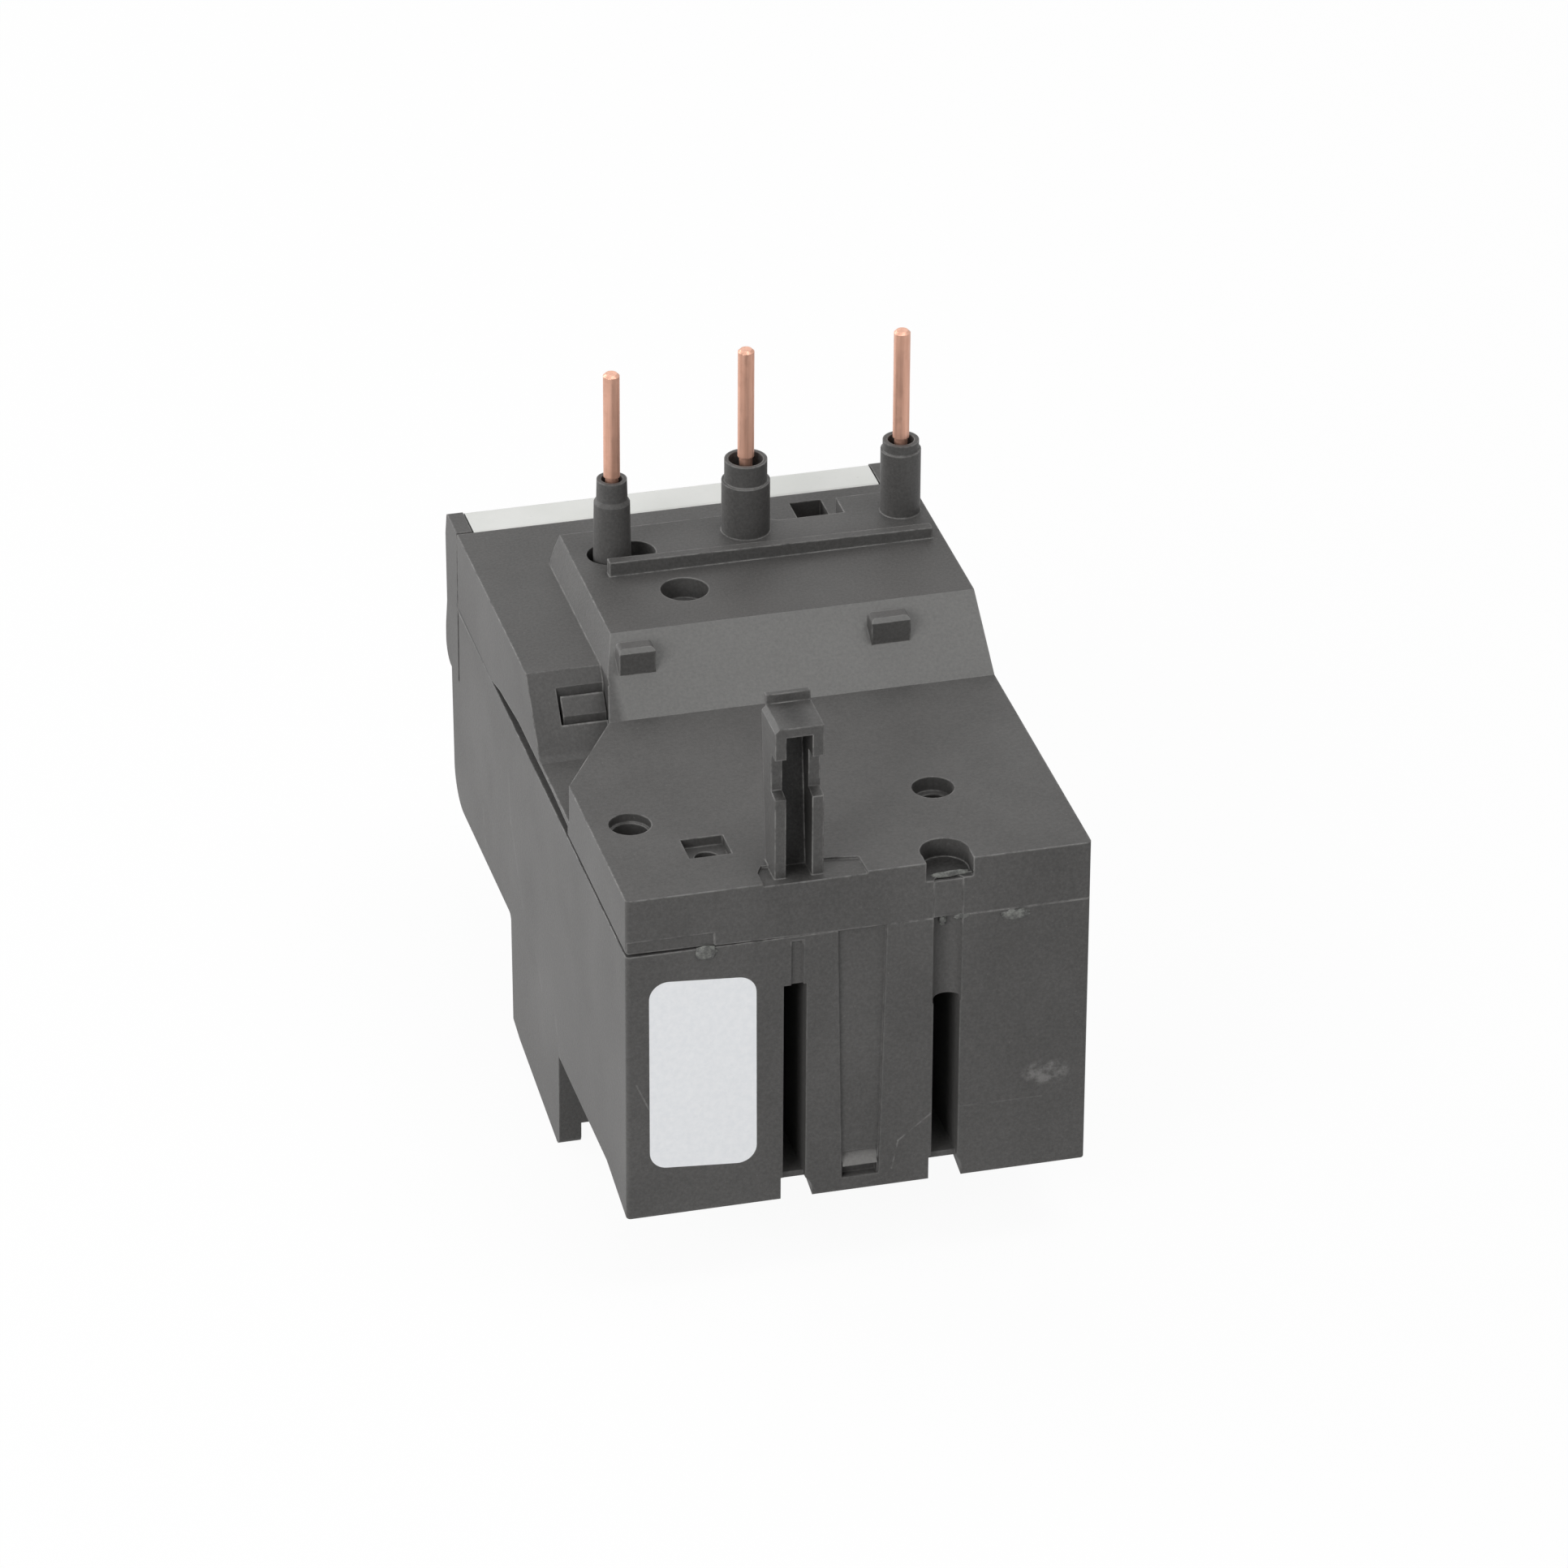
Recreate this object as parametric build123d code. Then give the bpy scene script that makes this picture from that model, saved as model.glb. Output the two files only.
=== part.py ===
from build123d import *
import os

# Plug-in thermal overload relay with three poles, in millimetres.
# X runs to the right as the front is looked at, Y to the rear, Z up.
# The origin is under the middle of the object, at the height of the feet that it stands on.
# Depths are measured forward from the rear face, heights up from the feet.

# Overall sizes, walls and clearances
body_width = 45.0
lobe_depth = 74.8
label_thickness = 0.1
wall = 1.6
fit_gap = 0.05
running_gap = 0.3
edge_round = 0.4

rear_y = lobe_depth / 2
half_width = body_width / 2
inner_half = half_width - wall

# Heights of the housing and of the levels of the cover
plateau = 43.3
cover_edge = 6.06
block_rise = 2.67
platform_rise = 5.46
parting = plateau - cover_edge
ledge = plateau - 4.0
block_top = plateau + block_rise
platform = plateau + platform_rise
chamber_floor_outside = 10.3
rear_lip = 8.5
rear_lip_depth = 8.0

# Depths and walls of the cover
slope_foot = 33.24
slope_head = 40.8
platform_end = 61.5
cover_end = 69.1
block_foot = 34.5
block_head = 39.9
block_x = 13.9
corner_cut_depth = 22.3
slope_foot_x = 15.9
wall_foot_x = 15.1
wall_foot_depth = 36.94
step_back = 2.3
cover_wall = 1.8
cover_rear_wall = 5.2
cavity_wall = 1.0
front_cavity = platform_end - 6.5

# The joint between the cover and the housing
parting_groove = 1.0
parting_bevel = 0.5
parting_wedge = 0.3
parting_step = 0.15
groove_start = corner_cut_depth + 0.6
groove_end = 55.0
step_x = 14.0
wedge_end_x = 3.0

# Screw pockets (x, depth, drop of the seat, radius of the hole), and the other openings of the cover
screw_pockets = [(18.64, 13.9, 0.9, 1.75), (-10.83, 13.63, 1.5, 1.3)]
pocket_radius = 2.02
blind_x = 4.75
blind_place = 47.7
blind_radius = 2.35
blind_depth = 2.2
blind_wall = 0.8
recess_x = (10.7, 14.8)
recess_depths = (6.3, 9.9)
recess_drop = 1.0
recess_hole = (12.8, 7.7)
recess_hole_radius = 1.15
recess_hole_drop = 2.4
keyhole_x = -8.7
keyhole_place = 1.9
keyhole_radius = 2.35
keyhole_depth = 2.0
front_hole_x = (-14.2, -11.0)
front_hole_near = cover_end - 4.9
front_hole_far = cover_end - 1.7
window_near = 36.4
window_far = 38.8
window_low_x = 15.1
window_high_x = 19.8
tongue_gap = 0.3

# Hook post at the rear edge
hook_low_x = 3.28
hook_high_x = 7.98
hook_near = 1.0
hook_rise = 15.66
hook_top = plateau + hook_rise
hook_foot_depth = 4.45
hook_cap_depth = 6.0
hook_nose_depth = 6.9
hook_nose = 0.89
hook_jamb = 1.12
hook_waist = 1.5
hook_waist_low = hook_top - 7.51
hook_waist_high = hook_top - 3.26
hook_bevel = 0.45
hook_opening_top = hook_top - 0.95
patch_depth = 0.25
patch_outline = [(-0.77, -1), (9.3, -1), (9.3, 2.2), (8.7, 3.35), (2.3, 3.36), (-0.62, 2.9)]

# Lugs on the slope and the rib on the platform
lug_spans = [(10.3, 13.9), (-15.1, -11.2)]
lug_near = 37.05
lug_far = 38.8
rib_low_x = -21.4
rib_high_x = 11.2
rib_near = 51.85
rib_far = 52.9
rib_low_rise = 1.15
rib_high_rise = 1.5

# Lower front part that carries the power terminals
step_depth = 27.4
terminal_front = 47.3
terminal_roof = 14.85
terminal_floor = 2.4
terminal_floor_front = 5.2
barrier_thickness = 2.2
barrier_bend_depth = 44.1
barrier_bend = 2.4
barrier_front = 3.2
barrier_round = 1.0
terminal_pitch = 14.4
terminal_count = 3
power_screw_height = 9.3
power_plate_depth = 36.2
power_plate = 1.0
power_gap = 5.2
power_clamp = 1.2
power_clamp_half = 4.0
power_head_radius = 3.6
power_thread = 2.0
power_pocket_half = power_clamp_half + 0.9
power_clamp_near = power_plate_depth + power_plate + power_gap
power_clamp_far = power_clamp_near + power_clamp

# Upper front part that carries the auxiliary terminals
nose_depth = 71.6
nose_round = 4.0
shelf = 29.3
bay_floor = shelf + 0.2
aux_pitch = 10.0
aux_count = 4
aux_screw_height = 22.3
aux_plate_depth = 61.1
aux_plate = 0.8
aux_plate_half = 3.0
aux_plate_low = aux_screw_height - 4.3
aux_plate_high = aux_screw_height + 3.5
aux_gap = 5.0
aux_clamp = 1.0
aux_clamp_half = 3.2
aux_head_radius = 2.9
aux_thread = 1.75
aux_pocket_half = aux_clamp_half + 0.7
aux_clamp_near = aux_plate_depth + aux_plate + aux_gap
aux_clamp_far = aux_clamp_near + aux_clamp

# Pole chambers between the two slots of the rear face, and the strips that leave them
slot_depth = 20.0
slot_left_x = 6.19
slot_left_width = 2.21
slot_left_top = plateau - 11.33
slot_right_x = -8.58
slot_right_width = 2.59
slot_right_top = plateau - 14.94
slot_wall = 1.4
slot_sill = 0.6
slot_lead = 0.8
chamber_end = step_depth - slot_wall
chamber_floor = chamber_floor_outside + wall
corridor_floor = parting - 3.34
conductor_half = 2.5
conductor_thickness = 1.0

# Notches (low x, high x, top), grooves and the guide channel of the rear face
notch_left = (4.41, 7.49, 10.8)
notch_right = (-10.23, -7.03, 11.0)
notch_round = 1.6
groove_x = -8.6
groove_radius = 1.5
groove_offset = 0.5
shallow_groove_x = (5.39, 6.57)
shallow_groove = 0.25
guide_x = -0.3
guide_top_half = 2.4
guide_foot_half = 1.8
guide_depth = 0.3
guide_foot = 12.6
guide_hollow = 9.9
catch_foot = 11.1
catch_depth = 0.95

# Bare label: its corners (x, drop below the plateau)
label_corners = [(20.3, -9.05), (9.95, -9.85), (9.85, -30.3), (20.25, -29.45)]
label_round = 1.8

# Bimetals, heaters and slides
bimetal_x = [-16.1, -1.1, 12.9]
bimetal_depth = 13.0
bimetal_width = 6.0
bimetal_thickness = 0.9
bimetal_tip_width = 3.0
heater_radius = 3.7
heater_drop = 3.5
heater_top = corridor_floor - heater_drop
slide_thickness = 1.0
slide_travel = 1.5
slide_low = corridor_floor + running_gap
difference_low = slide_low + slide_thickness + running_gap
bimetal_top = difference_low + slide_thickness + 0.4

# Contact pins and their sleeves, from the front's left to its right
pin_radius = 0.815
pin_root_radius = 0.65
pin_rise = 25.3
pin_run_rise = 2.76
tail_lead = 5.0
pin_tip = plateau + pin_rise
pin_run_height = parting + pin_run_rise
pin_tail_depth = bimetal_depth + tail_lead
pin_tail_end = heater_top + 0.6
pin_bend = 2.0
pin_depths = [58.4, 58.2, 56.4]
pin_x = [-19.9, -4.1, 9.85]
tail_x = [-16.1, -4.1, 11.7]
sleeve_rise = 13.3
sleeve_top = plateau + sleeve_rise
loose_rim = 0.5
loose_foot = 1.87
obround_x = 8.93
obround_half = 3.42
obround_radius = 2.15

# Front panel and flap
panel_front = 73.9
panel_half = 20.75
panel_rim = 2.0
panel_back = 1.3
hinge_setback = 0.6
hinge_depth = panel_front - hinge_setback
hinge_height = shelf + 2.3
hinge_pin = 0.6
hinge_barrel = 1.0
lobe_round = 2.3

# Controls behind the flap, about one height
control_height = (hinge_height + block_top) / 2 - 0.785
control_back = cover_end + panel_back + 0.1
dial_x = -11.5
dial_radius = 5.2
dial_stem = 2.4
dial_thickness = 1.0
cam_near = cover_end - 5.0
cam_thickness = 2.0
selector_x = -1.5
selector_height = control_height - 3.1
selector_radius = 2.2
selector_stem = 1.2
button_front = panel_front + 0.2
reset_x = 13.2
reset_height = control_height - 0.6
reset_radius = 3.3
reset_stem = 1.5
stop_x = 5.0
stop_height = control_height
stop_half = 2.1
stop_stem = 1.2
test_height = control_height + 2.9
test_travel = 1.5
flag_x = reset_x
flag_height = control_height + 4.3
flag_travel = 3.0
bracket_near = cover_end - 9.1
bracket_far = bracket_near + 1.4

# Trip lever, contact carrier and contacts
lever_x = 5.0
lever_rear_arm = 5.0
lever_side_arm = 5.0
lever_eye = 1.2
lever_hub = 2.4
lever_pin = 0.8
lever_depth = step_depth + lever_rear_arm + lever_eye + 0.4
lever_low = bay_floor + 3.1
lever_thickness = 1.2
pivot_radius = 1.0
carrier_travel = slide_travel * lever_side_arm / lever_rear_arm
carrier_half = 2.5
carrier_low = bay_floor + 1.6
carrier_thickness = 1.2
strip_half = 1.5
tab_depth = aux_plate_depth - 5.7
tab_thickness = 0.6
strip_crest = bay_floor + 5.4
bridge_low = carrier_low + 1.6
bridge_height = 1.0
bridge_thickness = 0.75


def ahead(depth):
    """The y of a point that lies a depth forward of the rear face."""
    return rear_y - depth


def block(x_low, x_high, near, far, low, high):
    """A box between two x, two depths and two heights."""
    size = Box(x_high - x_low, far - near, high - low)
    return Pos((x_low + x_high) / 2, ahead((near + far) / 2), (low + high) / 2) * size


def upright(x, depth, low, high, radius):
    """A round bar along Z."""
    return Pos(x, ahead(depth), (low + high) / 2) * Cylinder(radius, high - low)


def along_y(x, height, near, far, radius):
    """A round bar along Y."""
    bar = Rot(90, 0, 0) * Cylinder(radius, far - near)
    return Pos(x, ahead((near + far) / 2), height) * bar


def along_x(depth, height, x_low, x_high, radius):
    """A round bar along X."""
    bar = Rot(0, 90, 0) * Cylinder(radius, x_high - x_low)
    return Pos((x_low + x_high) / 2, ahead(depth), height) * bar


def side_profile(points, x_low, x_high, rounds=()):
    """A profile of (depth, height) points drawn out between two x, with some corners rounded."""
    outline = Polygon(*[(ahead(depth), height) for depth, height in points], align=None)
    for depth, height, radius in rounds:
        corner = outline.vertices().sort_by_distance((ahead(depth), height, 0))[0]
        outline = fillet(corner, radius)
    return extrude(Plane.YZ.offset(x_low) * outline, x_high - x_low, dir=(1, 0, 0))


def plan_profile(points, low, high, rounds=()):
    """A profile of (x, depth) points drawn up between two heights, with some corners rounded."""
    outline = Polygon(*[(x, ahead(depth)) for x, depth in points], align=None)
    for x, depth, radius in rounds:
        corner = outline.vertices().sort_by_distance((x, ahead(depth), 0))[0]
        outline = fillet(corner, radius)
    return extrude(Plane.XY.offset(low) * outline, high - low, dir=(0, 0, 1))


def cross_profile(points, near, far, rounds=()):
    """A profile of (x, height) points drawn forward between two depths, with some corners rounded."""
    outline = Polygon(*points, align=None)
    for x, height, radius in rounds:
        corner = outline.vertices().sort_by_distance((x, height, 0))[0]
        outline = fillet(corner, radius)
    return extrude(Plane.XZ.offset(-ahead(far)) * outline, far - near, dir=(0, 1, 0))


def taper(x, depth, low, high, low_radius, high_radius):
    """A round bar along Z that narrows upwards."""
    return Pos(x, ahead(depth), (low + high) / 2) * Cone(low_radius, high_radius, high - low)


def row(count, pitch):
    """Evenly spaced places about the middle."""
    return [(i - (count - 1) / 2) * pitch for i in range(count)]


def chambers():
    """The x span of each pole chamber, from the front's left to its right."""
    right_edge = slot_right_x - slot_right_width / 2 - slot_wall
    right_side = slot_right_x + slot_right_width / 2 + slot_wall
    left_side = slot_left_x - slot_left_width / 2 - slot_wall
    left_edge = slot_left_x + slot_left_width / 2 + slot_wall
    return [(-inner_half, right_edge), (right_side, left_side), (left_edge, inner_half)]


# Driving sizes of the terminals


def conductor_plan(index, margin):
    """The plan of a pole conductor from under its bimetal to its terminal."""
    rear_x = bimetal_x[index]
    front_x = row(terminal_count, terminal_pitch)[index]
    half = conductor_half + margin
    near = bimetal_depth - bimetal_width / 2 - 1 - margin
    far = power_plate_depth + power_plate + margin
    return [
        (rear_x - half, near),
        (rear_x + half, near),
        (rear_x + half, chamber_end),
        (front_x + half, chamber_end + 4),
        (front_x + half, far),
        (front_x - half, far),
        (front_x - half, chamber_end + 4),
        (rear_x - half, chamber_end),
    ]


def power_pocket(x, index):
    """What is cut for one power terminal: wire well, screw access and the conductor's channel."""
    low = terminal_floor - 5
    half = power_pocket_half
    top = power_screw_height + power_clamp_half + 0.7
    well = block(x - half, x + half, power_plate_depth - 0.1, power_clamp_far + 0.4, low, top)
    near = power_clamp_far - 0.6
    access = along_y(x, power_screw_height, near, terminal_front + 3, power_head_radius + 0.5)
    mouth = Pos(x, ahead(terminal_front - 0.3), power_screw_height) * (
        Rot(90, 0, 0) * Cone(power_head_radius + 1.4, power_head_radius + 0.5, 2.0)
    )
    tip = along_y(x, power_screw_height, power_plate_depth - 1.6, power_plate_depth, power_thread + 0.2)
    channel = plan_profile(
        conductor_plan(index, 0.15), chamber_floor, chamber_floor + conductor_thickness + 0.15
    )
    return well + access + mouth + tip + channel


def aux_pocket(x):
    """What is cut for one auxiliary terminal: wire well, screw access and the strip's slot."""
    near = aux_plate_depth - 0.1
    half = aux_pocket_half
    well = block(x - half, x + half, near, nose_depth - 2.6, aux_plate_low - 0.5, aux_plate_high + 0.4)
    entry = block(x - half, x + half, near, aux_clamp_near, terminal_roof - 1, aux_plate_low)
    access = along_y(x, aux_screw_height, nose_depth - 4, nose_depth + 3, aux_head_radius + 0.4)
    tip = along_y(x, aux_screw_height, aux_plate_depth - 1.2, aux_plate_depth, aux_thread + 0.15)
    half = strip_half + 0.2
    far = aux_plate_depth + aux_plate + 0.1
    slot = block(x - half, x + half, near, far, aux_plate_high + 0.2, bay_floor + 1)
    return well + entry + access + tip + slot


def control_holes(near, far):
    """The holes for the dial's stem, the selector and the two buttons through a wall."""
    holes = along_y(dial_x, control_height, near, far, dial_stem + 0.2)
    holes += along_y(selector_x, selector_height, near, far, selector_stem + 0.2)
    holes += along_y(reset_x, reset_height, near, far, reset_radius + 0.25)
    side = stop_half + 0.25
    holes += block(stop_x - side, stop_x + side, near, far, stop_height - side, stop_height + side)
    return holes


def flag_window(near, far):
    """The window through a wall that the trip flag shows in."""
    return block(flag_x - 1.6, flag_x + 1.6, near, far, flag_height - 0.8, flag_height + 0.8)


def notch(x_low, x_high, top):
    """A notch through the lip under a slot, with one rounded corner, and its arch in the rear face."""
    corner = [(x_low, rear_lip - 1), (x_low, top), (x_high, top), (x_high, rear_lip - 1)]
    arch = cross_profile(corner, -1, slot_lead, [(x_low, top, notch_round)])
    passage = cross_profile(corner, -1, rear_lip_depth + 1, [(x_low, top, notch_round)])
    return arch + (passage & block(x_low - 1, x_high + 1, -2, rear_lip_depth + 2, 0, chamber_floor_outside))


def rear_details():
    """What is cut into the rear face: two slots, the notches in the lip below them and two grooves."""
    low = chamber_floor_outside + slot_sill
    cuts = notch(*notch_left) + notch(*notch_right)
    half = slot_left_width / 2
    cuts += block(slot_left_x - half, slot_left_x + half, -1, slot_depth, low, slot_left_top)
    cuts += block(slot_left_x - half, slot_left_x + half, -1, slot_lead, low - 1, low + 1)
    half = slot_right_width / 2
    cuts += block(slot_right_x - half, slot_right_x + half, -1, slot_depth, low, slot_right_top)
    cuts += block(slot_right_x - half, slot_right_x + half, -1, slot_lead, low - 1, low + 1)
    cuts += block(*shallow_groove_x, -1, shallow_groove, slot_left_top - 0.5, parting - 0.5)
    return cuts + keyhole_groove()


def keyhole_groove():
    """The half round groove that runs down the rear from the keyhole to the slot below it."""
    high = plateau - keyhole_depth + 0.5
    return upright(groove_x, -groove_offset, slot_right_top - 0.5, high, groove_radius)


def guide_channel():
    """The shallow tapered channel of the rear face, with a wedge catch in the hollow at its foot."""
    channel = cross_profile(
        [
            (guide_x - guide_top_half, parting + 1),
            (guide_x + guide_top_half, parting + 1),
            (guide_x + guide_foot_half, guide_hollow),
            (guide_x - guide_foot_half, guide_hollow),
        ],
        -1,
        guide_depth,
    )
    inner = guide_foot_half - 0.1
    hollow = block(guide_x - inner, guide_x + inner, -1, catch_depth, guide_hollow, guide_foot)
    wedge = side_profile(
        [(catch_depth, guide_foot), (0, catch_foot), (catch_depth, catch_foot)],
        guide_x - inner,
        guide_x + inner,
    )
    return channel + hollow - wedge


def housing_outline():
    """The closed outer form of the housing, with its barriers and its two front strips."""
    body = side_profile(
        [
            (0, parting),
            (0, rear_lip),
            (rear_lip_depth, chamber_floor_outside),
            (step_depth, chamber_floor_outside),
            (step_depth, terminal_floor),
            (terminal_front - 0.5, terminal_floor_front),
            (terminal_front, terminal_roof),
            (nose_depth, terminal_roof),
            (nose_depth + 0.8, shelf),
            (cover_end - 0.2, shelf),
            (cover_end - 0.2, parting),
        ],
        -half_width,
        half_width,
        [(nose_depth, terminal_roof, nose_round), (terminal_front, terminal_roof, 0.8)],
    )
    run = barrier_bend_depth - step_depth
    slope = barrier_bend / (run - barrier_round)
    slope = (barrier_bend + barrier_round * ((1 + slope**2) ** 0.5 - 1)) / (run - barrier_round)
    foot = barrier_bend - run * slope
    barrier = [
        (step_depth, chamber_floor_outside),
        (step_depth, foot),
        (barrier_bend_depth, barrier_bend),
        (terminal_front - 0.5, barrier_front),
        (terminal_front, terminal_roof),
    ]
    rounds = [(step_depth, foot, barrier_round), (barrier_bend_depth, barrier_bend, 6.0)]
    for x in row(terminal_count + 1, terminal_pitch):
        half = barrier_thickness / 2
        middle = max(-half_width + half, min(half_width - half, x))
        body += side_profile(barrier, middle - half, middle + half, rounds)
    strip = [
        (cover_end + 0.3, shelf),
        (lobe_depth, shelf),
        (lobe_depth, hinge_height + 1.2),
        (panel_front + 0.2, hinge_height + 4.4),
        (panel_front + 0.5, block_top - 2.5),
        (panel_front - 0.1, block_top),
        (cover_end + 0.3, block_top),
    ]
    rounds = [
        (lobe_depth, shelf, lobe_round - 0.1),
        (lobe_depth, hinge_height + 1.2, 3.0),
        (panel_front - 0.1, block_top, 0.5),
    ]
    for low, high in ((-half_width, -panel_half - 0.15), (panel_half + 0.15, half_width)):
        body += side_profile(strip, low, high, rounds)
    return body


def main_housing():
    """The lower shell: pole chambers behind, mechanism bay in front, terminals below."""
    body = housing_outline()
    body = fillet(body.edges().filter_by(Axis.Z).group_by(Axis.Y)[-1], edge_round)
    for low, high in chambers():
        body -= block(low, high, wall, chamber_end, chamber_floor, parting + 1)
    body -= block(-inner_half, inner_half, wall, chamber_end + 2, corridor_floor, parting + 1)
    body -= block(-inner_half, inner_half, step_depth, cover_end - wall, bay_floor, parting + 1)
    for index, x in enumerate(row(terminal_count, terminal_pitch)):
        body -= power_pocket(x, index)
    for x in row(aux_count, aux_pitch):
        body -= aux_pocket(x)
    body -= rear_details()
    body -= test_label()
    body -= guide_channel()
    body -= control_holes(cover_end - wall - 1, cover_end + 1)
    for side in (-1, 1):
        inner = side * panel_half
        outer = side * (half_width - 0.6)
        body -= along_x(hinge_depth, hinge_height, min(inner, outer), max(inner, outer), hinge_pin + fit_gap)
    return body


def cover_outline():
    """The closed outer form of the cover: slab, side block, plateau, slope and platform."""
    slab = block(-half_width, half_width, 0, cover_end, parting, ledge)
    side_block = side_profile(
        [
            (block_foot - 0.6, parting),
            (block_foot - 0.6, ledge),
            (block_foot, ledge + 0.3),
            (block_head, block_top),
            (cover_end, block_top),
            (cover_end, parting),
        ],
        block_x - 1,
        half_width,
        [(block_foot, ledge + 0.3, 1.0)],
    )
    strip = block(-half_width, half_width, platform_end - 3, cover_end, parting, block_top)
    centre = side_profile(
        [
            (0, parting),
            (0, plateau),
            (slope_foot, plateau),
            (slope_head, platform),
            (platform_end + 0.9, platform),
            (platform_end + 0.9, parting),
        ],
        -half_width,
        half_width,
    )
    limit = plan_profile(
        [
            (-half_width, 0),
            (half_width, 0),
            (half_width, corner_cut_depth),
            (slope_foot_x, slope_foot),
            (wall_foot_x, wall_foot_depth),
            (wall_foot_x, platform_end),
            (-4.0, platform_end),
            (-7.6, platform_end - step_back),
            (-14.4, platform_end - step_back),
            (-14.4, platform_end + 0.9),
            (-half_width, platform_end + 0.9),
        ],
        parting,
        platform + 1,
        [(wall_foot_x, platform_end, 0.8), (-7.6, platform_end - step_back, 1.5), (-4.0, platform_end, 1.0)],
    )
    lean = cross_profile(
        [
            (wall_foot_x, block_top),
            (block_x, platform),
            (block_x, platform + 1),
            (wall_foot_x + 1, platform + 1),
            (wall_foot_x + 1, block_top),
        ],
        slope_foot,
        platform_end + 1,
    )
    outline = slab + side_block + strip + ((centre & limit) - lean)
    return fillet(outline.edges().filter_by(Axis.Z).group_by(Axis.Y)[-1], edge_round)


def parting_details():
    """What is cut along the cover's lower edge: side groove, bevel, the gap behind and a small step."""
    groove = side_profile(
        [
            (groove_start, parting - 1),
            (groove_start, plateau - 4.7),
            (groove_start + 6.1, plateau - 4.4),
            (groove_end - 12.0, plateau - 4.4),
            (groove_end - 4.0, plateau - 5.2),
            (groove_end, parting),
            (groove_end, parting - 1),
        ],
        half_width - parting_groove,
        half_width + 1,
    )
    bevel = cross_profile(
        [
            (half_width - parting_bevel, parting),
            (half_width + 1, parting + parting_bevel + 1),
            (half_width + 1, parting),
        ],
        -1,
        groove_start,
    )
    gap = cross_profile(
        [(wedge_end_x, parting), (half_width + 1, parting + parting_wedge), (half_width + 1, parting)],
        -1,
        slot_lead,
    )
    step = block(step_x, half_width + 1, -1, parting_step, parting - 1, plateau - 4.5)
    return groove + bevel + gap + step


def cover_cavity():
    """The hollow of the cover, a wall's thickness under its outer form."""
    top = plateau - cover_wall
    centre = side_profile(
        [
            (cover_rear_wall, parting - 1),
            (cover_rear_wall, top),
            (slope_foot + 0.6, top),
            (slope_head + 0.6, platform - cover_wall),
            (platform_end - step_back - wall, platform - cover_wall),
            (platform_end - step_back - wall, block_top - cover_wall),
            (cover_end - wall, block_top - cover_wall),
            (cover_end - wall, parting - 1),
        ],
        -inner_half,
        block_x,
    )
    limit = plan_profile(
        [
            (-inner_half, 0),
            (inner_half - 1.5, 0),
            (inner_half - 1.5, corner_cut_depth - 1.6),
            (slope_foot_x - 2.0, slope_foot - 0.8),
            (block_x - cavity_wall, slope_head - 0.4),
            (block_x - cavity_wall, cover_end),
            (-inner_half, cover_end),
        ],
        parting - 1,
        platform,
    )
    rise = (block_top - ledge - 0.3) / (block_head - block_foot)
    inner_foot = block_foot + 2.3
    side = side_profile(
        [
            (inner_foot - 0.3, parting - 1),
            (inner_foot - 0.3, ledge + 0.3 - 0.3 * rise),
            (inner_foot + (block_top - cover_wall - ledge - 0.3) / rise, block_top - cover_wall),
            (cover_end - wall, block_top - cover_wall),
            (cover_end - wall, parting - 1),
        ],
        block_x + cavity_wall + 0.2,
        inner_half,
    )
    front = block(
        -inner_half, inner_half, front_cavity, cover_end - wall, parting - 1, block_top - cover_wall
    )
    return (centre & limit) + side + front


def cover_pockets():
    """Screw pockets, blind hole, square pocket, keyhole, pin openings and the tongue's window."""
    cuts = Part()
    for x, depth, ledge_drop, hole in screw_pockets:
        cuts += upright(x, depth, plateau - ledge_drop, plateau + 1, pocket_radius)
        cuts += upright(x, depth, parting - 1, plateau, hole)
    cuts += upright(blind_x, blind_place, platform - blind_depth, platform + 1, blind_radius)
    cuts += block(*recess_x, *recess_depths, plateau - recess_drop, plateau + 1)
    cuts += upright(*recess_hole, plateau - recess_hole_drop, plateau, recess_hole_radius)
    cuts += upright(keyhole_x, keyhole_place, plateau - keyhole_depth, plateau + 1, keyhole_radius)
    side = keyhole_radius - 0.05
    cuts += block(keyhole_x - side, keyhole_x + side, -1, keyhole_place, plateau - keyhole_depth, plateau + 1)
    cuts += keyhole_groove()
    cuts += block(*front_hole_x, front_hole_near, front_hole_far, parting - 1, block_top + 1)
    slot = SlotCenterToCenter(2 * (obround_half - obround_radius), 2 * obround_radius)
    cuts += extrude(Plane((obround_x, ahead(pin_depths[2]), parting)) * slot, platform, dir=(0, 0, 1))
    cuts += flag_window(cover_end - wall - 1, cover_end + 1)
    cuts += block(window_low_x, window_high_x, window_near, window_far, parting + 1, block_top + 1)
    return cuts


def moulded_sleeve(index, foot_radius, rim_radius, shoulder, bore):
    """A sleeve that stands on the platform round a fixed pin, narrower at its rim."""
    x, depth = pin_x[index], pin_depths[index]
    sleeve = upright(x, depth, platform - 1, shoulder, foot_radius)
    sleeve += upright(x, depth, shoulder - 1, sleeve_top, rim_radius)
    sleeve -= upright(x, depth, sleeve_top - 4.0, sleeve_top + 1, bore)
    return sleeve


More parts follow.
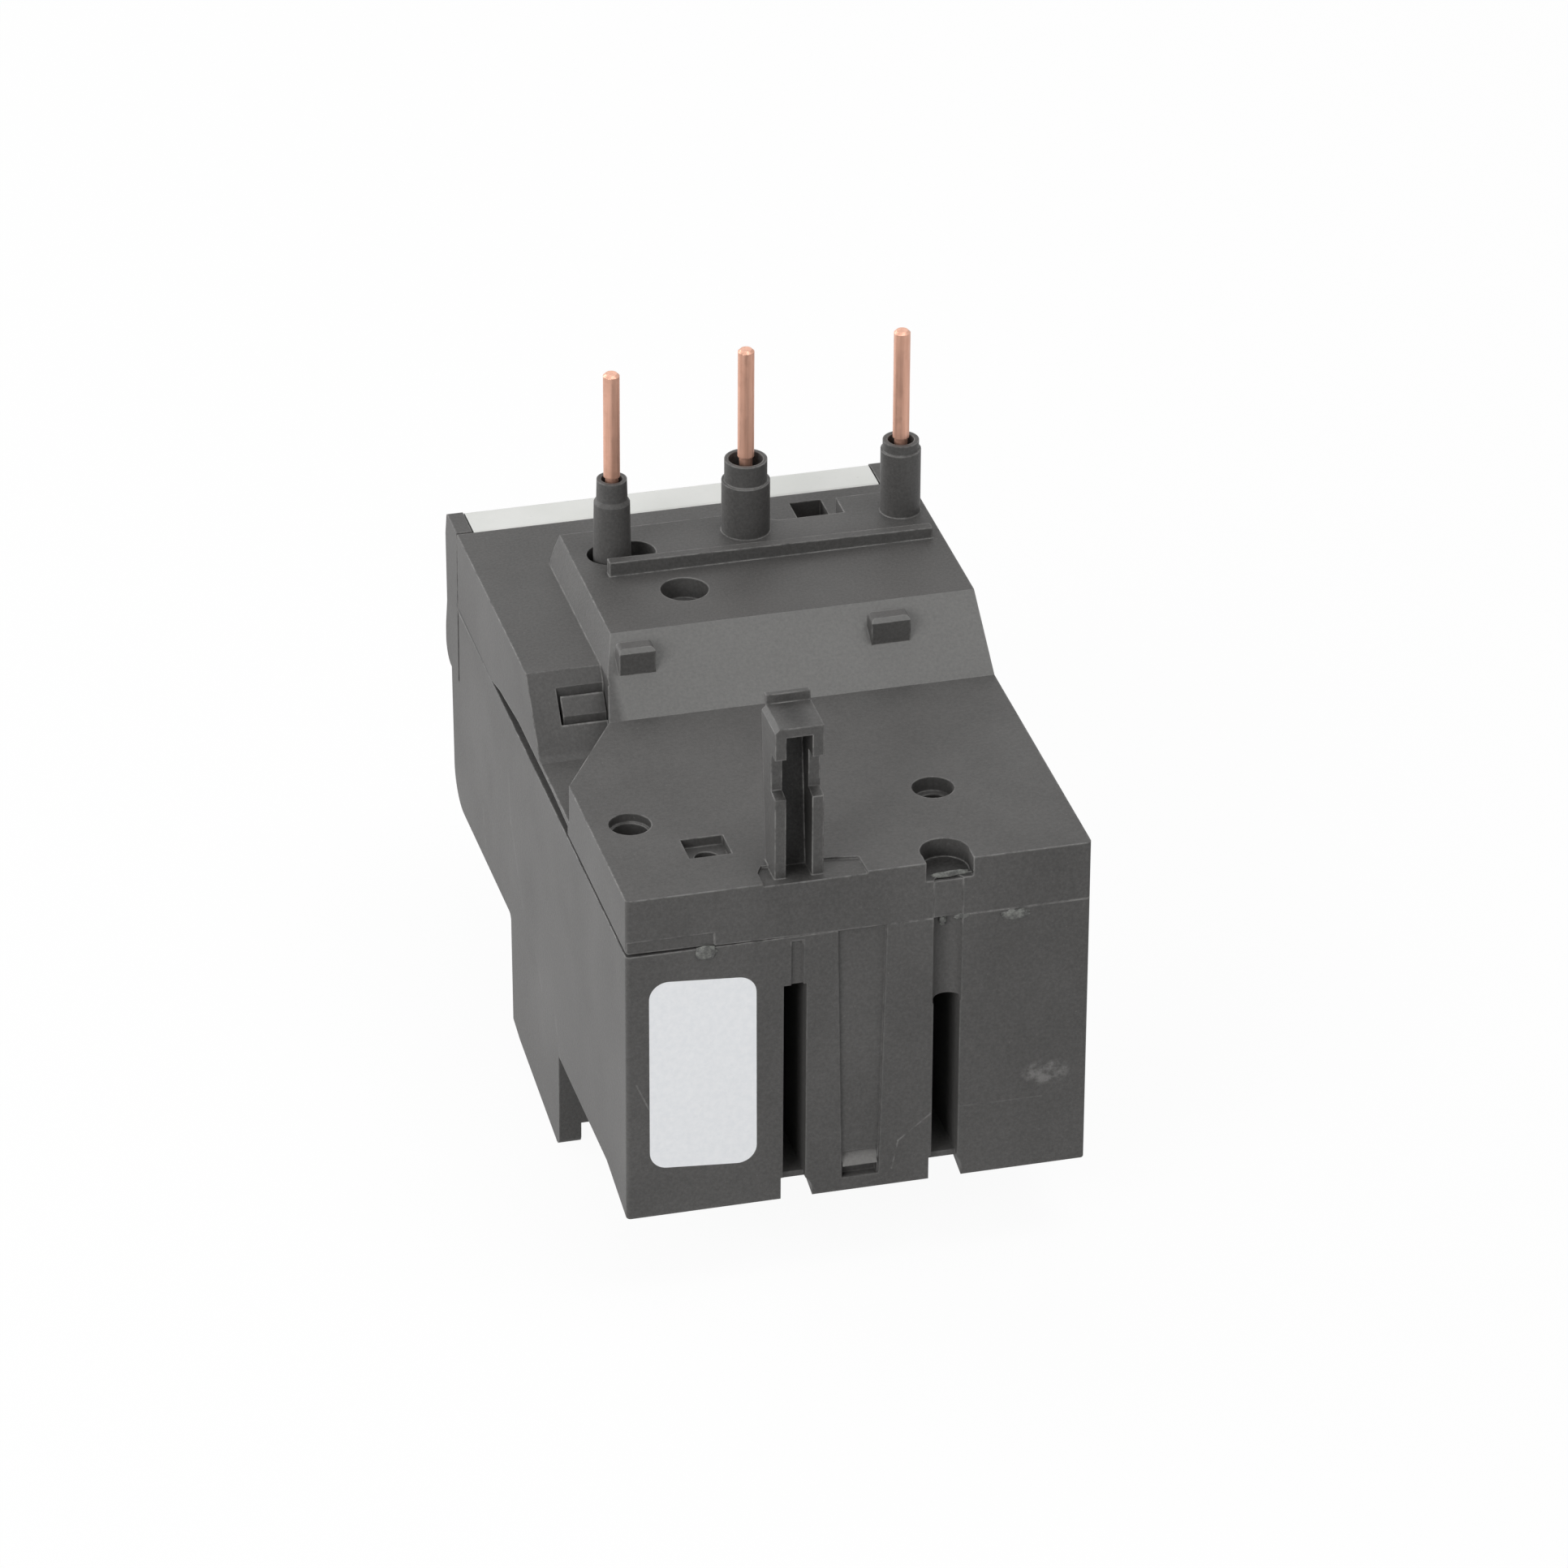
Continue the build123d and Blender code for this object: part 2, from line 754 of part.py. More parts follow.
def hook_post():
    """The hollow post at the rear edge: open to the rear, leaning front wall, notched jambs, nosed cap."""
    base = plateau - 0.5
    near, top = hook_near, hook_top
    post = side_profile(
        [
            (near, base),
            (near, top),
            (hook_cap_depth, top),
            (hook_cap_depth, top - 0.8),
            (hook_foot_depth, plateau),
            (hook_foot_depth, base),
        ],
        hook_low_x,
        hook_high_x,
    )
    nose = side_profile(
        [
            (hook_cap_depth - 1, top - 0.5),
            (hook_cap_depth, top),
            (hook_cap_depth + 0.15, top + hook_nose),
            (hook_nose_depth, top + hook_nose),
            (hook_nose_depth, top + 0.2),
            (hook_cap_depth - 0.1, top - 0.8),
        ],
        hook_low_x,
        hook_high_x - hook_bevel,
        [(hook_nose_depth, top + hook_nose, 0.25)],
    )
    hollow = side_profile(
        [
            (near - 1, plateau - patch_depth),
            (near - 1, hook_opening_top),
            (hook_cap_depth - hook_jamb, hook_opening_top),
            (hook_foot_depth - hook_jamb, plateau - patch_depth),
        ],
        hook_low_x + hook_jamb,
        hook_high_x - hook_jamb + 0.05,
    )
    waist = side_profile(
        [
            (near - 1, hook_waist_low - 0.05),
            (near, hook_waist_low),
            (near + hook_waist, hook_waist_low + 0.3),
            (near + hook_waist, hook_waist_high),
            (near - 1, hook_waist_high),
        ],
        hook_low_x - 1,
        hook_high_x + 1,
    )
    bevel = cross_profile(
        [(hook_high_x - hook_bevel, top), (hook_high_x + 1, top), (hook_high_x + 1, top - hook_bevel - 1)],
        near - 1,
        hook_cap_depth + 1,
    )
    return post + nose - hollow - waist - bevel


def lug(x_low, x_high):
    """An upright lug on the slope, level with the platform, with a bevelled rear edge."""
    near, far = lug_near, lug_far
    tall = cross_profile(
        [(x_low, plateau + 1), (x_high, plateau + 1), (x_high, platform), (x_low, platform)],
        near,
        far,
        [(x_low, platform, 0.5), (x_high, platform, 0.5)],
    )
    side = side_profile(
        [
            (near, plateau + 1),
            (near, platform - 0.4),
            (near + 0.4, platform),
            (far, platform),
            (far, plateau + 1),
        ],
        x_low,
        x_high,
    )
    return tall & side


def hook_patch():
    """The shallow recess round the foot of the hook post."""
    return plan_profile(patch_outline, plateau - patch_depth, plateau + 1)


def rib():
    """The low rib across the platform behind the pins, which drops a little towards the front's left."""
    outline = [
        (rib_low_x, platform - 0.5),
        (rib_high_x, platform - 0.5),
        (rib_high_x, platform + rib_high_rise),
        (rib_low_x, platform + rib_low_rise),
    ]
    return cross_profile(outline, rib_near, rib_far)


def top_cover():
    """The upper shell that carries the pins and hooks on to the contactor."""
    cover = cover_outline() - cover_cavity()
    boss = blind_radius + blind_wall
    cover += upright(blind_x, blind_place, platform - blind_depth - blind_wall, platform - 1, boss)
    cover -= parting_details()
    cover -= hook_patch()
    cover += moulded_sleeve(1, 2.4, 2.12, sleeve_top - 2.3, 1.7)
    cover += moulded_sleeve(0, 2.0, 1.8, sleeve_top - 1.0, 1.3)
    cover += hook_post()
    for span in lug_spans:
        cover += lug(*span)
    cover += rib()
    cover -= cover_pockets()
    for x, depth in zip(pin_x[:2], pin_depths):
        cover -= upright(x, depth, parting, pin_tip, pin_root_radius + fit_gap)
    cover -= control_holes(cover_end - wall - 1, cover_end + 1)
    return cover


def contact_pin(index):
    """A copper pin that stands on the platform, runs back under the cover and turns down to its heater."""
    x = pin_x[index]
    rim = sleeve_top + (loose_rim if index == 2 else 0)
    path = FilletPolyline(
        (x, ahead(pin_depths[index]), rim + 2),
        (x, ahead(pin_depths[index]), pin_run_height),
        (tail_x[index], ahead(pin_tail_depth), pin_run_height),
        (tail_x[index], ahead(pin_tail_depth), pin_tail_end),
        radius=pin_bend,
    )
    section = Plane(origin=path @ 0, z_dir=path % 0) * Circle(pin_root_radius)
    pin = sweep(section, path) + upright(x, pin_depths[index], rim + 0.3, pin_tip, pin_radius)
    tip = pin.edges().group_by(Axis.Z)[-1]
    return chamfer(tip, 0.25)


def sliding_sleeve():
    """The loose sleeve of the front's right pin, held under the platform by its flange."""
    x, depth = pin_x[2], pin_depths[2]
    under = platform - cover_wall - 0.2
    shoulder = sleeve_top - 2.0
    sleeve = upright(x, depth, under - 1.2, platform, loose_foot)
    sleeve += taper(x, depth, platform, shoulder, loose_foot, loose_foot - 0.09)
    sleeve += taper(x, depth, shoulder, shoulder + 0.4, loose_foot - 0.09, 1.54)
    sleeve += taper(x, depth, shoulder + 0.4, sleeve_top + loose_rim, 1.54, 1.49)
    sleeve += block(x - 3.4, x + 2.2, depth - 2.9, depth + 0.3, under - 1.2, under)
    sleeve -= upright(x, depth, sleeve_top - 2, sleeve_top + 1, 1.05)
    sleeve -= upright(x, depth, under - 2, sleeve_top, pin_root_radius + fit_gap)
    return sleeve


def test_label():
    """The bare paper label, a little askew and flush in the rear face."""
    outline = Polygon(*[(x, plateau + drop) for x, drop in label_corners], align=None)
    outline = fillet(outline.vertices(), label_round)
    return extrude(Plane.XZ.offset(-ahead(label_thickness)) * outline, label_thickness, dir=(0, 1, 0))


def front_panel():
    """The pale panel: a shallow tray that frames the controls under the flap."""
    panel = side_profile(
        [
            (cover_end, shelf + 0.1),
            (cover_end, block_top),
            (panel_front, block_top),
            (panel_front, hinge_height + 1.5),
            (hinge_depth - hinge_barrel - 0.3, hinge_height + 1.5),
            (hinge_depth - hinge_barrel - 0.3, shelf + 0.1),
        ],
        -panel_half,
        panel_half,
        [(panel_front, block_top, 0.8), (cover_end, block_top, 0.5)],
    )
    low = hinge_height - 0.5
    high = block_top - panel_rim
    panel -= block(
        -panel_half + panel_rim, panel_half - panel_rim, cover_end + panel_back, panel_front + 3, low, high
    )
    panel -= control_holes(cover_end - 1, cover_end + panel_back + 1)
    x, z = selector_x, test_height
    panel -= block(x - 2.6, x + 2.6, cover_end - 1, cover_end + panel_back + 1, z - 0.9, z + 0.9)
    panel -= block(x - 3.9, x + 3.9, cover_end - 1, cover_end + 0.7, z - 1.5, z + 1.5)
    panel -= flag_window(cover_end - 1, cover_end + 3)
    return panel


def flap():
    """The clear flap over the panel, hinged along its lower edge."""
    half = panel_half - panel_rim - running_gap
    top = block_top - panel_rim - running_gap
    plate = side_profile(
        [
            (hinge_depth - 0.6, hinge_height),
            (hinge_depth - 0.6, top),
            (hinge_depth + 0.9, top),
            (hinge_depth + 0.9, top - 0.6),
            (hinge_depth + 0.4, top - 1.0),
            (hinge_depth + 0.4, hinge_height),
        ],
        -half,
        half,
    )
    plate += along_x(hinge_depth, hinge_height, -panel_half + 0.1, panel_half - 0.1, hinge_barrel)
    plate += along_x(hinge_depth, hinge_height, -half_width + 1, half_width - 1, hinge_pin)
    plate -= along_y(reset_x, reset_height, hinge_depth - 3, hinge_depth + 3, reset_radius + 0.7)
    side = stop_half + 0.7
    span = (stop_height - side, stop_height + side)
    plate -= block(stop_x - side, stop_x + side, hinge_depth - 3, hinge_depth + 3, *span)
    return plate


def setting_dial():
    """The current dial with its driver slot and stem."""
    back = control_back
    dial = along_y(dial_x, control_height, back, back + dial_thickness, dial_radius)
    dial += along_y(dial_x, control_height, cam_near - 0.1, back + 0.2, dial_stem)
    groove = (control_height - 0.5, control_height + 0.5)
    dial -= block(dial_x - 3.6, dial_x + 3.6, back + 0.4, back + 3, *groove)
    return dial


def setting_cam():
    """The eccentric cam on the dial's stem."""
    far = cam_near + cam_thickness
    cam = along_y(dial_x + 0.9, control_height, cam_near, far, dial_stem + 1.4)
    return cam - along_y(dial_x, control_height, cam_near - 1.1, far + 0.9, dial_stem + fit_gap)


def mode_selector():
    """The small turning selector between manual and automatic reset."""
    back = control_back
    knob = along_y(selector_x, selector_height, back, back + 1.0, selector_radius)
    knob += along_y(selector_x, selector_height, cover_end - 2.6, back + 0.2, selector_stem)
    groove = (selector_height - 0.35, selector_height + 0.35)
    knob -= block(selector_x - 1.6, selector_x + 1.6, back + 0.4, back + 3, *groove)
    return knob


def reset_button():
    """The round reset button, its stem and the collar that stops it behind the bracket."""
    button = along_y(reset_x, reset_height, cover_end + 0.4, button_front, reset_radius)
    button = fillet(button.edges().filter_by(GeomType.CIRCLE).sort_by(Axis.Y)[0], 0.5)
    button += along_y(reset_x, reset_height, bracket_near - 0.5, cover_end + 1, reset_stem)
    button += along_y(reset_x, reset_height, bracket_near - 1.6, bracket_near - 0.3, reset_stem + 0.6)
    return button


def stop_button():
    """The square stop button, its stem and the collar that stops it behind the bracket."""
    span = (stop_height - stop_half, stop_height + stop_half)
    button = block(stop_x - stop_half, stop_x + stop_half, cover_end + 0.4, button_front, *span)
    button = fillet(button.edges().group_by(Axis.Y)[0], 0.4)
    button += along_y(stop_x, stop_height, bracket_near - 0.5, cover_end + 1, stop_stem)
    button += along_y(stop_x, stop_height, bracket_near - 1.6, bracket_near - 0.3, stop_stem + 0.5)
    return button


def button_spring(x, height, radius):
    """The coil spring between the bracket and the back of a button."""
    wire = 0.22
    length = cover_end + 0.4 - bracket_far - 2 * wire - 0.2
    path = Helix(length / 6, length, radius)
    coil = sweep(Plane(origin=path @ 0, z_dir=path % 0) * Circle(wire), path)
    return Pos(x, ahead(bracket_far + 0.1 + wire), height) * (Rot(90, 0, 0) * coil)


def test_slider():
    """The small slider that trips the contacts by hand."""
    x, z = selector_x - test_travel / 2, test_height
    slider = block(x - 2.3, x + 2.3, cover_end + 0.1, cover_end + 0.6, z - 1.3, z + 1.3)
    slider += block(x - 1.0, x + 1.0, cover_end + 0.5, cover_end + panel_back + 0.8, z - 0.7, z + 0.7)
    return slider


def trip_flag():
    """The coloured flag that slides across its window when the relay has tripped."""
    far = cover_end - wall - 0.15
    x = flag_x - flag_travel
    return block(x - 1.4, x + 1.4, far - 0.7, far, flag_height - 1.0, flag_height + 1.0)


def mechanism_frame():
    """The carrier of the trip parts: floor, rails, bracket for the buttons, and the tongue in the window."""
    floor = bay_floor + 1.5
    side = inner_half - running_gap
    frame = block(-side, side, step_depth + 0.6, bracket_near - 0.4, bay_floor, floor)
    for x in (-3.5, 3.5):
        frame += block(x - 0.7, x + 0.7, lever_depth + 6.5, tab_depth - 3.4, floor - 0.5, floor + 1.2)
    frame += upright(lever_x, lever_depth, floor - 0.5, floor + 1.4, lever_hub)
    low = control_height - 2.0
    frame += block(stop_x + 2.0, reset_x - 2.4, bracket_near - 1.0, bracket_far, bay_floor, low + 0.2)
    frame += block(stop_x - 3.4, reset_x + 4.2, bracket_near, bracket_far, low, low + 6.4)
    frame -= along_y(reset_x, reset_height, bracket_near - 1, bracket_far + 1, reset_stem + 0.15)
    frame -= along_y(stop_x, stop_height, bracket_near - 1, bracket_far + 1, stop_stem + 0.15)
    frame += tongue()
    frame -= upright(lever_x, lever_depth, bay_floor, floor + 2, pivot_radius + fit_gap)
    return frame


def tongue():
    """The snap tongue whose head fills the window of the cover."""
    rise = (block_top - ledge - 0.3) / (block_head - block_foot)

    def surface(depth):
        return ledge + 0.3 + (depth - block_foot) * rise - 0.15

    near = window_near + 2 * tongue_gap
    far = window_far - 0.5
    head = side_profile(
        [(near, surface(near)), (far, surface(far)), (far, surface(far) - 2.4), (near, surface(near) - 2.4)],
        window_low_x + 0.1,
        window_high_x - tongue_gap,
    )
    stem = block(window_low_x + 1.2, window_high_x - 0.9, near + 0.1, far, bay_floor + 1, surface(near) - 1.0)
    return head + stem


def bimetal(index):
    """A bimetal strip, broad in its heater and narrow where it passes the slides."""
    half = bimetal_width / 2
    tip = bimetal_tip_width / 2
    foot = chamber_floor + conductor_thickness
    neck = corridor_floor - 1
    x = bimetal_x[index]
    return side_profile(
        [
            (bimetal_depth - half, foot),
            (bimetal_depth - half, neck - 1.5),
            (bimetal_depth - tip, neck),
            (bimetal_depth - tip, bimetal_top),
            (bimetal_depth + tip, bimetal_top),
            (bimetal_depth + tip, neck),
            (bimetal_depth + half, neck - 1.5),
            (bimetal_depth + half, foot),
        ],
        x - bimetal_thickness / 2,
        x + bimetal_thickness / 2,
        [(bimetal_depth - tip, bimetal_top, 0.5), (bimetal_depth + tip, bimetal_top, 0.5)],
    )


def heater(index):
    """The heater ribbon wound round a bimetal."""
    low = chamber_floor + conductor_thickness + 0.5
    high = heater_top
    ribbon = Rectangle(0.5, 1.1)
    path = Helix((high - low) / 6, high - low, heater_radius)
    start = Plane(origin=path @ 0, x_dir=(1, 0, 0), z_dir=path % 0)
    coil = sweep(start * ribbon, path, is_frenet=True)
    return Pos(bimetal_x[index], ahead(bimetal_depth), low) * coil


def pole_conductor(index):
    """The copper strip from a bimetal's foot to the contact plate of its power terminal."""
    x = row(terminal_count, terminal_pitch)[index]
    top = chamber_floor + conductor_thickness
    strip = plan_profile(conductor_plan(index, 0), chamber_floor, top)
    plate = block(x - 4.0, x + 4.0, power_plate_depth, power_plate_depth + power_plate, 5.0, top)
    hole = along_y(x, power_screw_height, power_plate_depth - 1, power_plate_depth + 2, power_thread + 0.1)
    return strip + plate - hole


def slide_plate(low, arm):
    """A slide with a window round each bimetal, and an arm to the lever if asked."""
    near, far = bimetal_depth - 3.5, bimetal_depth + 3.5
    plate = block(bimetal_x[0] - 3.8, bimetal_x[2] + 5.0, near, far, low, low + slide_thickness)
    if arm:
        eye = lever_depth - lever_rear_arm
        side = lever_pin + 0.15
        plate += block(lever_x - 2.2, lever_x + 2.2, far - 1, eye + 1.8, low, low + slide_thickness)
        plate -= block(lever_x - side, lever_x + side, eye - 1.1, eye + 1.1, low - 1, low + 3)
    tip = bimetal_tip_width / 2 + running_gap
    for x in bimetal_x:
        left = x - bimetal_thickness / 2 - slide_travel - running_gap
        right = x + bimetal_thickness / 2 + running_gap / 2
        plate -= block(left, right, bimetal_depth - tip, bimetal_depth + tip, low - 1, low + 3)
    return plate


def trip_lever():
    """The bell crank between the trip slide and the contact carrier."""
    top = lever_low + lever_thickness
    eye = lever_eye
    rear_end = lever_depth - lever_rear_arm
    side_end = lever_x - lever_side_arm
    lever = upright(lever_x, lever_depth, lever_low, top, lever_hub)
    lever += block(lever_x - eye, lever_x + eye, rear_end, lever_depth, lever_low, top)
    lever += block(side_end, lever_x, lever_depth - eye, lever_depth + eye, lever_low, top)
    lever += upright(lever_x, rear_end, lever_low, top, eye)
    lever += upright(side_end, lever_depth, lever_low, top, eye)
    lever += upright(lever_x, rear_end, top - 0.2, slide_low + slide_thickness, lever_pin)
    lever += upright(side_end, lever_depth, carrier_low + 0.2, lever_low + 0.2, lever_pin)
    return lever - upright(lever_x, lever_depth, lever_low - 1, top + 1, pivot_radius + fit_gap)


def lever_pivot():
    """The steel pin that the trip lever turns on, fixed in the frame."""
    return upright(lever_x, lever_depth, bay_floor, lever_low + lever_thickness + 1.2, pivot_radius)


def bridge_near(normally_open):
    """The depth of a bridge's rear side: behind the tabs if it rests closed, ahead of them if open."""
    if normally_open:
        return tab_depth + tab_thickness + carrier_travel + fit_gap
    return tab_depth - bridge_thickness - fit_gap


def contact_carrier():
    """The carrier that moves both bridges, with the slot for the lever's pin."""
    top = carrier_low + carrier_thickness
    near = lever_depth - 2.2
    half = carrier_half
    carrier = block(-half, half, near, bridge_near(True) + bridge_thickness + 0.6, carrier_low, top)
    for state in (True, False):
        depth = bridge_near(state)
        far = depth + bridge_thickness + 0.5
        carrier += block(-half, half, depth - 0.5, far, carrier_low, bridge_low + 1.9)
        carrier -= bridge(state)
    x = lever_x - lever_side_arm
    side = lever_pin + 0.15
    carrier -= block(x - 1.1, x + 1.1, lever_depth - side, lever_depth + side, carrier_low - 1, top + 1)
    return carrier


def bridge(normally_open):
    """A bridge contact with its two contact buttons."""
    near = bridge_near(normally_open)
    far = near + bridge_thickness
    sign = -1 if normally_open else 1
    inner, outer = sign * 0.6, sign * (1.5 * aux_pitch + strip_half)
    return block(min(inner, outer), max(inner, outer), near, far, bridge_low, bridge_low + bridge_height)


def fixed_contacts():
    """The four strips from the auxiliary terminals to the tabs that the bridges meet."""
    strips = []
    back = aux_plate_depth
    front = aux_plate_depth + aux_plate
    crest = strip_crest
    for x in row(aux_count, aux_pitch):
        strip = side_profile(
            [
                (front, aux_screw_height),
                (front, crest),
                (tab_depth, crest),
                (tab_depth, bridge_low - 0.4),
                (tab_depth + tab_thickness, bridge_low - 0.4),
                (tab_depth + tab_thickness, crest - aux_plate),
                (back, crest - aux_plate),
                (back, aux_screw_height),
            ],
            x - strip_half,
            x + strip_half,
        )
        half = aux_plate_half
        strip += block(x - half, x + half, back, front, aux_plate_low, aux_plate_high)
        strip -= along_y(x, aux_screw_height, back - 1, front + 1, aux_thread + 0.1)
        strips.append(strip.solid())
    return Compound(children=strips)


def terminal_screws(places, height, tip, clamp_far, thread, head):
    """The screws of a row of terminals, with a cross recess in each head."""
    screws = []
    for x in places:
        screw = along_y(x, height, tip, clamp_far + 0.3, thread)
        screw += along_y(x, height, clamp_far + 0.1, clamp_far + 2.6, head)
        screw = chamfer(screw.edges().filter_by(GeomType.CIRCLE).sort_by(Axis.Y)[0], 0.5)
        for wide, tall in ((head * 0.6, 0.45), (0.45, head * 0.6)):
            screw -= block(x - wide, x + wide, clamp_far + 1.4, clamp_far + 4, height - tall, height + tall)
        screws.append(screw.solid())
    return Compound(children=screws)


def power_screws():
    """The three screws of the power terminals."""
    places = row(terminal_count, terminal_pitch)
    tip = power_plate_depth - 1.2
    height = power_screw_height
    return terminal_screws(places, height, tip, power_clamp_far, power_thread, power_head_radius)


def aux_screws():
    """The four screws of the auxiliary terminals."""
    places = row(aux_count, aux_pitch)
    tip = aux_plate_depth - 0.9
    return terminal_screws(places, aux_screw_height, tip, aux_clamp_far, aux_thread, aux_head_radius)


def clamps(places, height, near, thickness, half, thread):
    """The square saddle washers of a row of terminals, with their edges turned towards the wire."""
    pieces = []
    for x in places:
        piece = block(x - half, x + half, near, near + thickness, height - half, height + half)
        for low in (-half, half - 0.8):
            piece += block(x + low, x + low + 0.8, near - 0.8, near + 0.2, height - half, height + half)
        piece -= along_y(x, height, near - 3, near + 3, thread + 0.15)
        pieces.append(piece.solid())
    return Compound(children=pieces)


def power_clamps():
    """The three saddle clamps of the power terminals."""
    places = row(terminal_count, terminal_pitch)
    height = power_screw_height
    return clamps(places, height, power_clamp_near, power_clamp, power_clamp_half, power_thread)


def aux_clamps():
    """The four saddle clamps of the auxiliary terminals."""
    places = row(aux_count, aux_pitch)
    return clamps(places, aux_screw_height, aux_clamp_near, aux_clamp, aux_clamp_half, aux_thread)


def pieces():
    """Every piece of the relay by its name."""
    made = {
        "main_housing": main_housing(),
        "top_cover": top_cover(),
        "sliding_sleeve": sliding_sleeve(),
        "test_label": test_label(),
        "front_panel": front_panel(),
        "flap": flap(),
        "setting_dial": setting_dial(),
        "setting_cam": setting_cam(),
        "mode_selector": mode_selector(),
        "reset_button": reset_button(),
        "reset_spring": button_spring(reset_x, reset_height, 1.95),
        "stop_button": stop_button(),
        "stop_spring": button_spring(stop_x, stop_height, 1.6),
        "test_slider": test_slider(),
        "trip_flag": trip_flag(),
        "mechanism_frame": mechanism_frame(),
        "trip_slide": slide_plate(slide_low, True),
        "difference_slide": slide_plate(difference_low, False),
        "trip_lever": trip_lever(),
        "lever_pivot": lever_pivot(),
        "contact_carrier": contact_carrier(),
        "bridge_normally_open": bridge(True),
        "bridge_normally_closed": bridge(False),
        "fixed_contacts": fixed_contacts(),
        "power_screws": power_screws(),
        "power_clamps": power_clamps(),
        "aux_screws": aux_screws(),
        "aux_clamps": aux_clamps(),
    }
    for index in range(terminal_count):
        made[f"contact_pin_{index + 1}"] = contact_pin(index)
        made[f"bimetal_{index + 1}"] = bimetal(index)
        made[f"heater_{index + 1}"] = heater(index)
        made[f"pole_conductor_{index + 1}"] = pole_conductor(index)
    return made


os.makedirs("parts", exist_ok=True)
for name, piece in pieces().items():
    export_step(piece, f"parts/{name}.step")
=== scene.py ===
import math

import bmesh
import bpy
from mathutils import Matrix, Vector, noise


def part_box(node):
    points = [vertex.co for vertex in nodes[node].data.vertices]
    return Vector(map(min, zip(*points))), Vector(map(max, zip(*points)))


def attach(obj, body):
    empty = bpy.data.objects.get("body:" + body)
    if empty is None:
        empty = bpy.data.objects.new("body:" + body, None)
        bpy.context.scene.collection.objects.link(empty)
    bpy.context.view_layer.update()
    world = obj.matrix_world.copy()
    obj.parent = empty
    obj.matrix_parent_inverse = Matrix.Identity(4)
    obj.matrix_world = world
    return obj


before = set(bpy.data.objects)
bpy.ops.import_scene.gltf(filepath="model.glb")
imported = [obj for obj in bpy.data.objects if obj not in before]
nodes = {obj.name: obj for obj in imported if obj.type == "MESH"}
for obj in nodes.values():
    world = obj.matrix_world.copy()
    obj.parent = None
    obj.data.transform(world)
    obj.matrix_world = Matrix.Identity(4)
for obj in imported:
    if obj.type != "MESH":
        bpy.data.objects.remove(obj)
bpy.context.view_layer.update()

# The rear face's y, the height of the cover's plateau and half the body's width, all in mm
MM = 0.001
REAR_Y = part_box("main_housing")[1][1] / MM
PLATEAU = 43.3
HALF_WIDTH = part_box("main_housing")[1][0] / MM


def at(x, depth, height):
    """A point in metres from x, the depth forward of the rear face and the height, in mm."""
    return Vector((x * MM, (REAR_Y - depth) * MM, height * MM))


# The setting dial's axis in metres and its ring of ticks: how many a full turn would have, the
# ring's inner and outer edge in metres and its ends in radians, each as where the ticks are gone
# and where they are full
DIAL_X = -0.0115
DIAL_HEIGHT = 0.038
DIAL_STEPS = 15
DIAL_RING_INNER = (0.00545, 0.00555)
DIAL_RING_OUTER = (0.00615, 0.00605)
DIAL_RING_END = (2.17, 2.14)

# Depths in mm between which the cover slopes; in metres, over how much its painted highlight fades
# at both, and the x where it is gone and where it is full
SLOPE_FOOT = 32.9
SLOPE_HEAD = 41.2
SLOPE_FADE = 0.0004
SLOPE_SIDE = (0.0150, 0.0140)

# Heights in metres between which the pale edges of the housing, partly wear and partly painted
# highlight, come in, just below the joint
JOINT_FADE = (0.0360, 0.0366)

# Depths in mm from which painted shade on all faces in an opening begins and is full
DEEP_FROM = 2.6
DEEP_TO = 2.9

# The openings that get painted shade inside and the other marked places, as centre and radii in
# metres
HOOK_PAINTED_SHADE = (at(5.63, 3.4, 50.6), (0.0024, 0.0055, 0.0125))
KEYHOLE_PAINTED_SHADE = (at(-8.7, 1.9, 41.0), (0.0032, 0.0034, 0.0024))
KEYHOLE_GROOVE = (at(-8.6, 0, 39.0), (0.0021, 0.002, 0.0027))
RUBBED_PATCH = (at(-18.5, 0.0, 18.7), (0.0027, 0.004, 0.0016))
CATCH_FACET_HIGHLIGHT = (at(-0.3, 0.4, 11.9), (0.0042, 0.0022, 0.0024))

# How thick the filling of the keyhole's groove is, in mm
FILL_THICKNESS = 0.3

# Scratches, scuffs and the painted shade along the joint, each from one point to another
SEAM_WIDTH = 0.00022
REAR_SCRATCHES = [
    (at(-7.16, 0, 15.74), at(-4.0, 0, 13.24)),
    (at(-4.0, 0, 13.24), at(-3.4, 0, 10.24)),
    (at(21.51, 0, 23.2), at(20.34, 0, 20.43)),
]
FAINT_SCRATCHES = [(at(-10.03, 0, 16.12), at(-18.13, 0, 16.05))]
SIDE_SEAM_SHADE = [(at(HALF_WIDTH, 54.6, 37.3), at(HALF_WIDTH, 69.8, 37.7))]
SIDE_SCUFFS = [
    (at(HALF_WIDTH, 59.2, 20.5), at(HALF_WIDTH, 58.1, 16.7)),
    (at(HALF_WIDTH, 47.9, 30.8), at(HALF_WIDTH, 46.9, 25.7)),
    (at(HALF_WIDTH, 46.9, 25.7), at(HALF_WIDTH, 41.6, 17.7)),
    (at(HALF_WIDTH, 36.7, 16.5), at(HALF_WIDTH, 34.3, 13.9)),
    (at(HALF_WIDTH, 29.3, 15.1), at(HALF_WIDTH, 26.8, 10.4)),
]


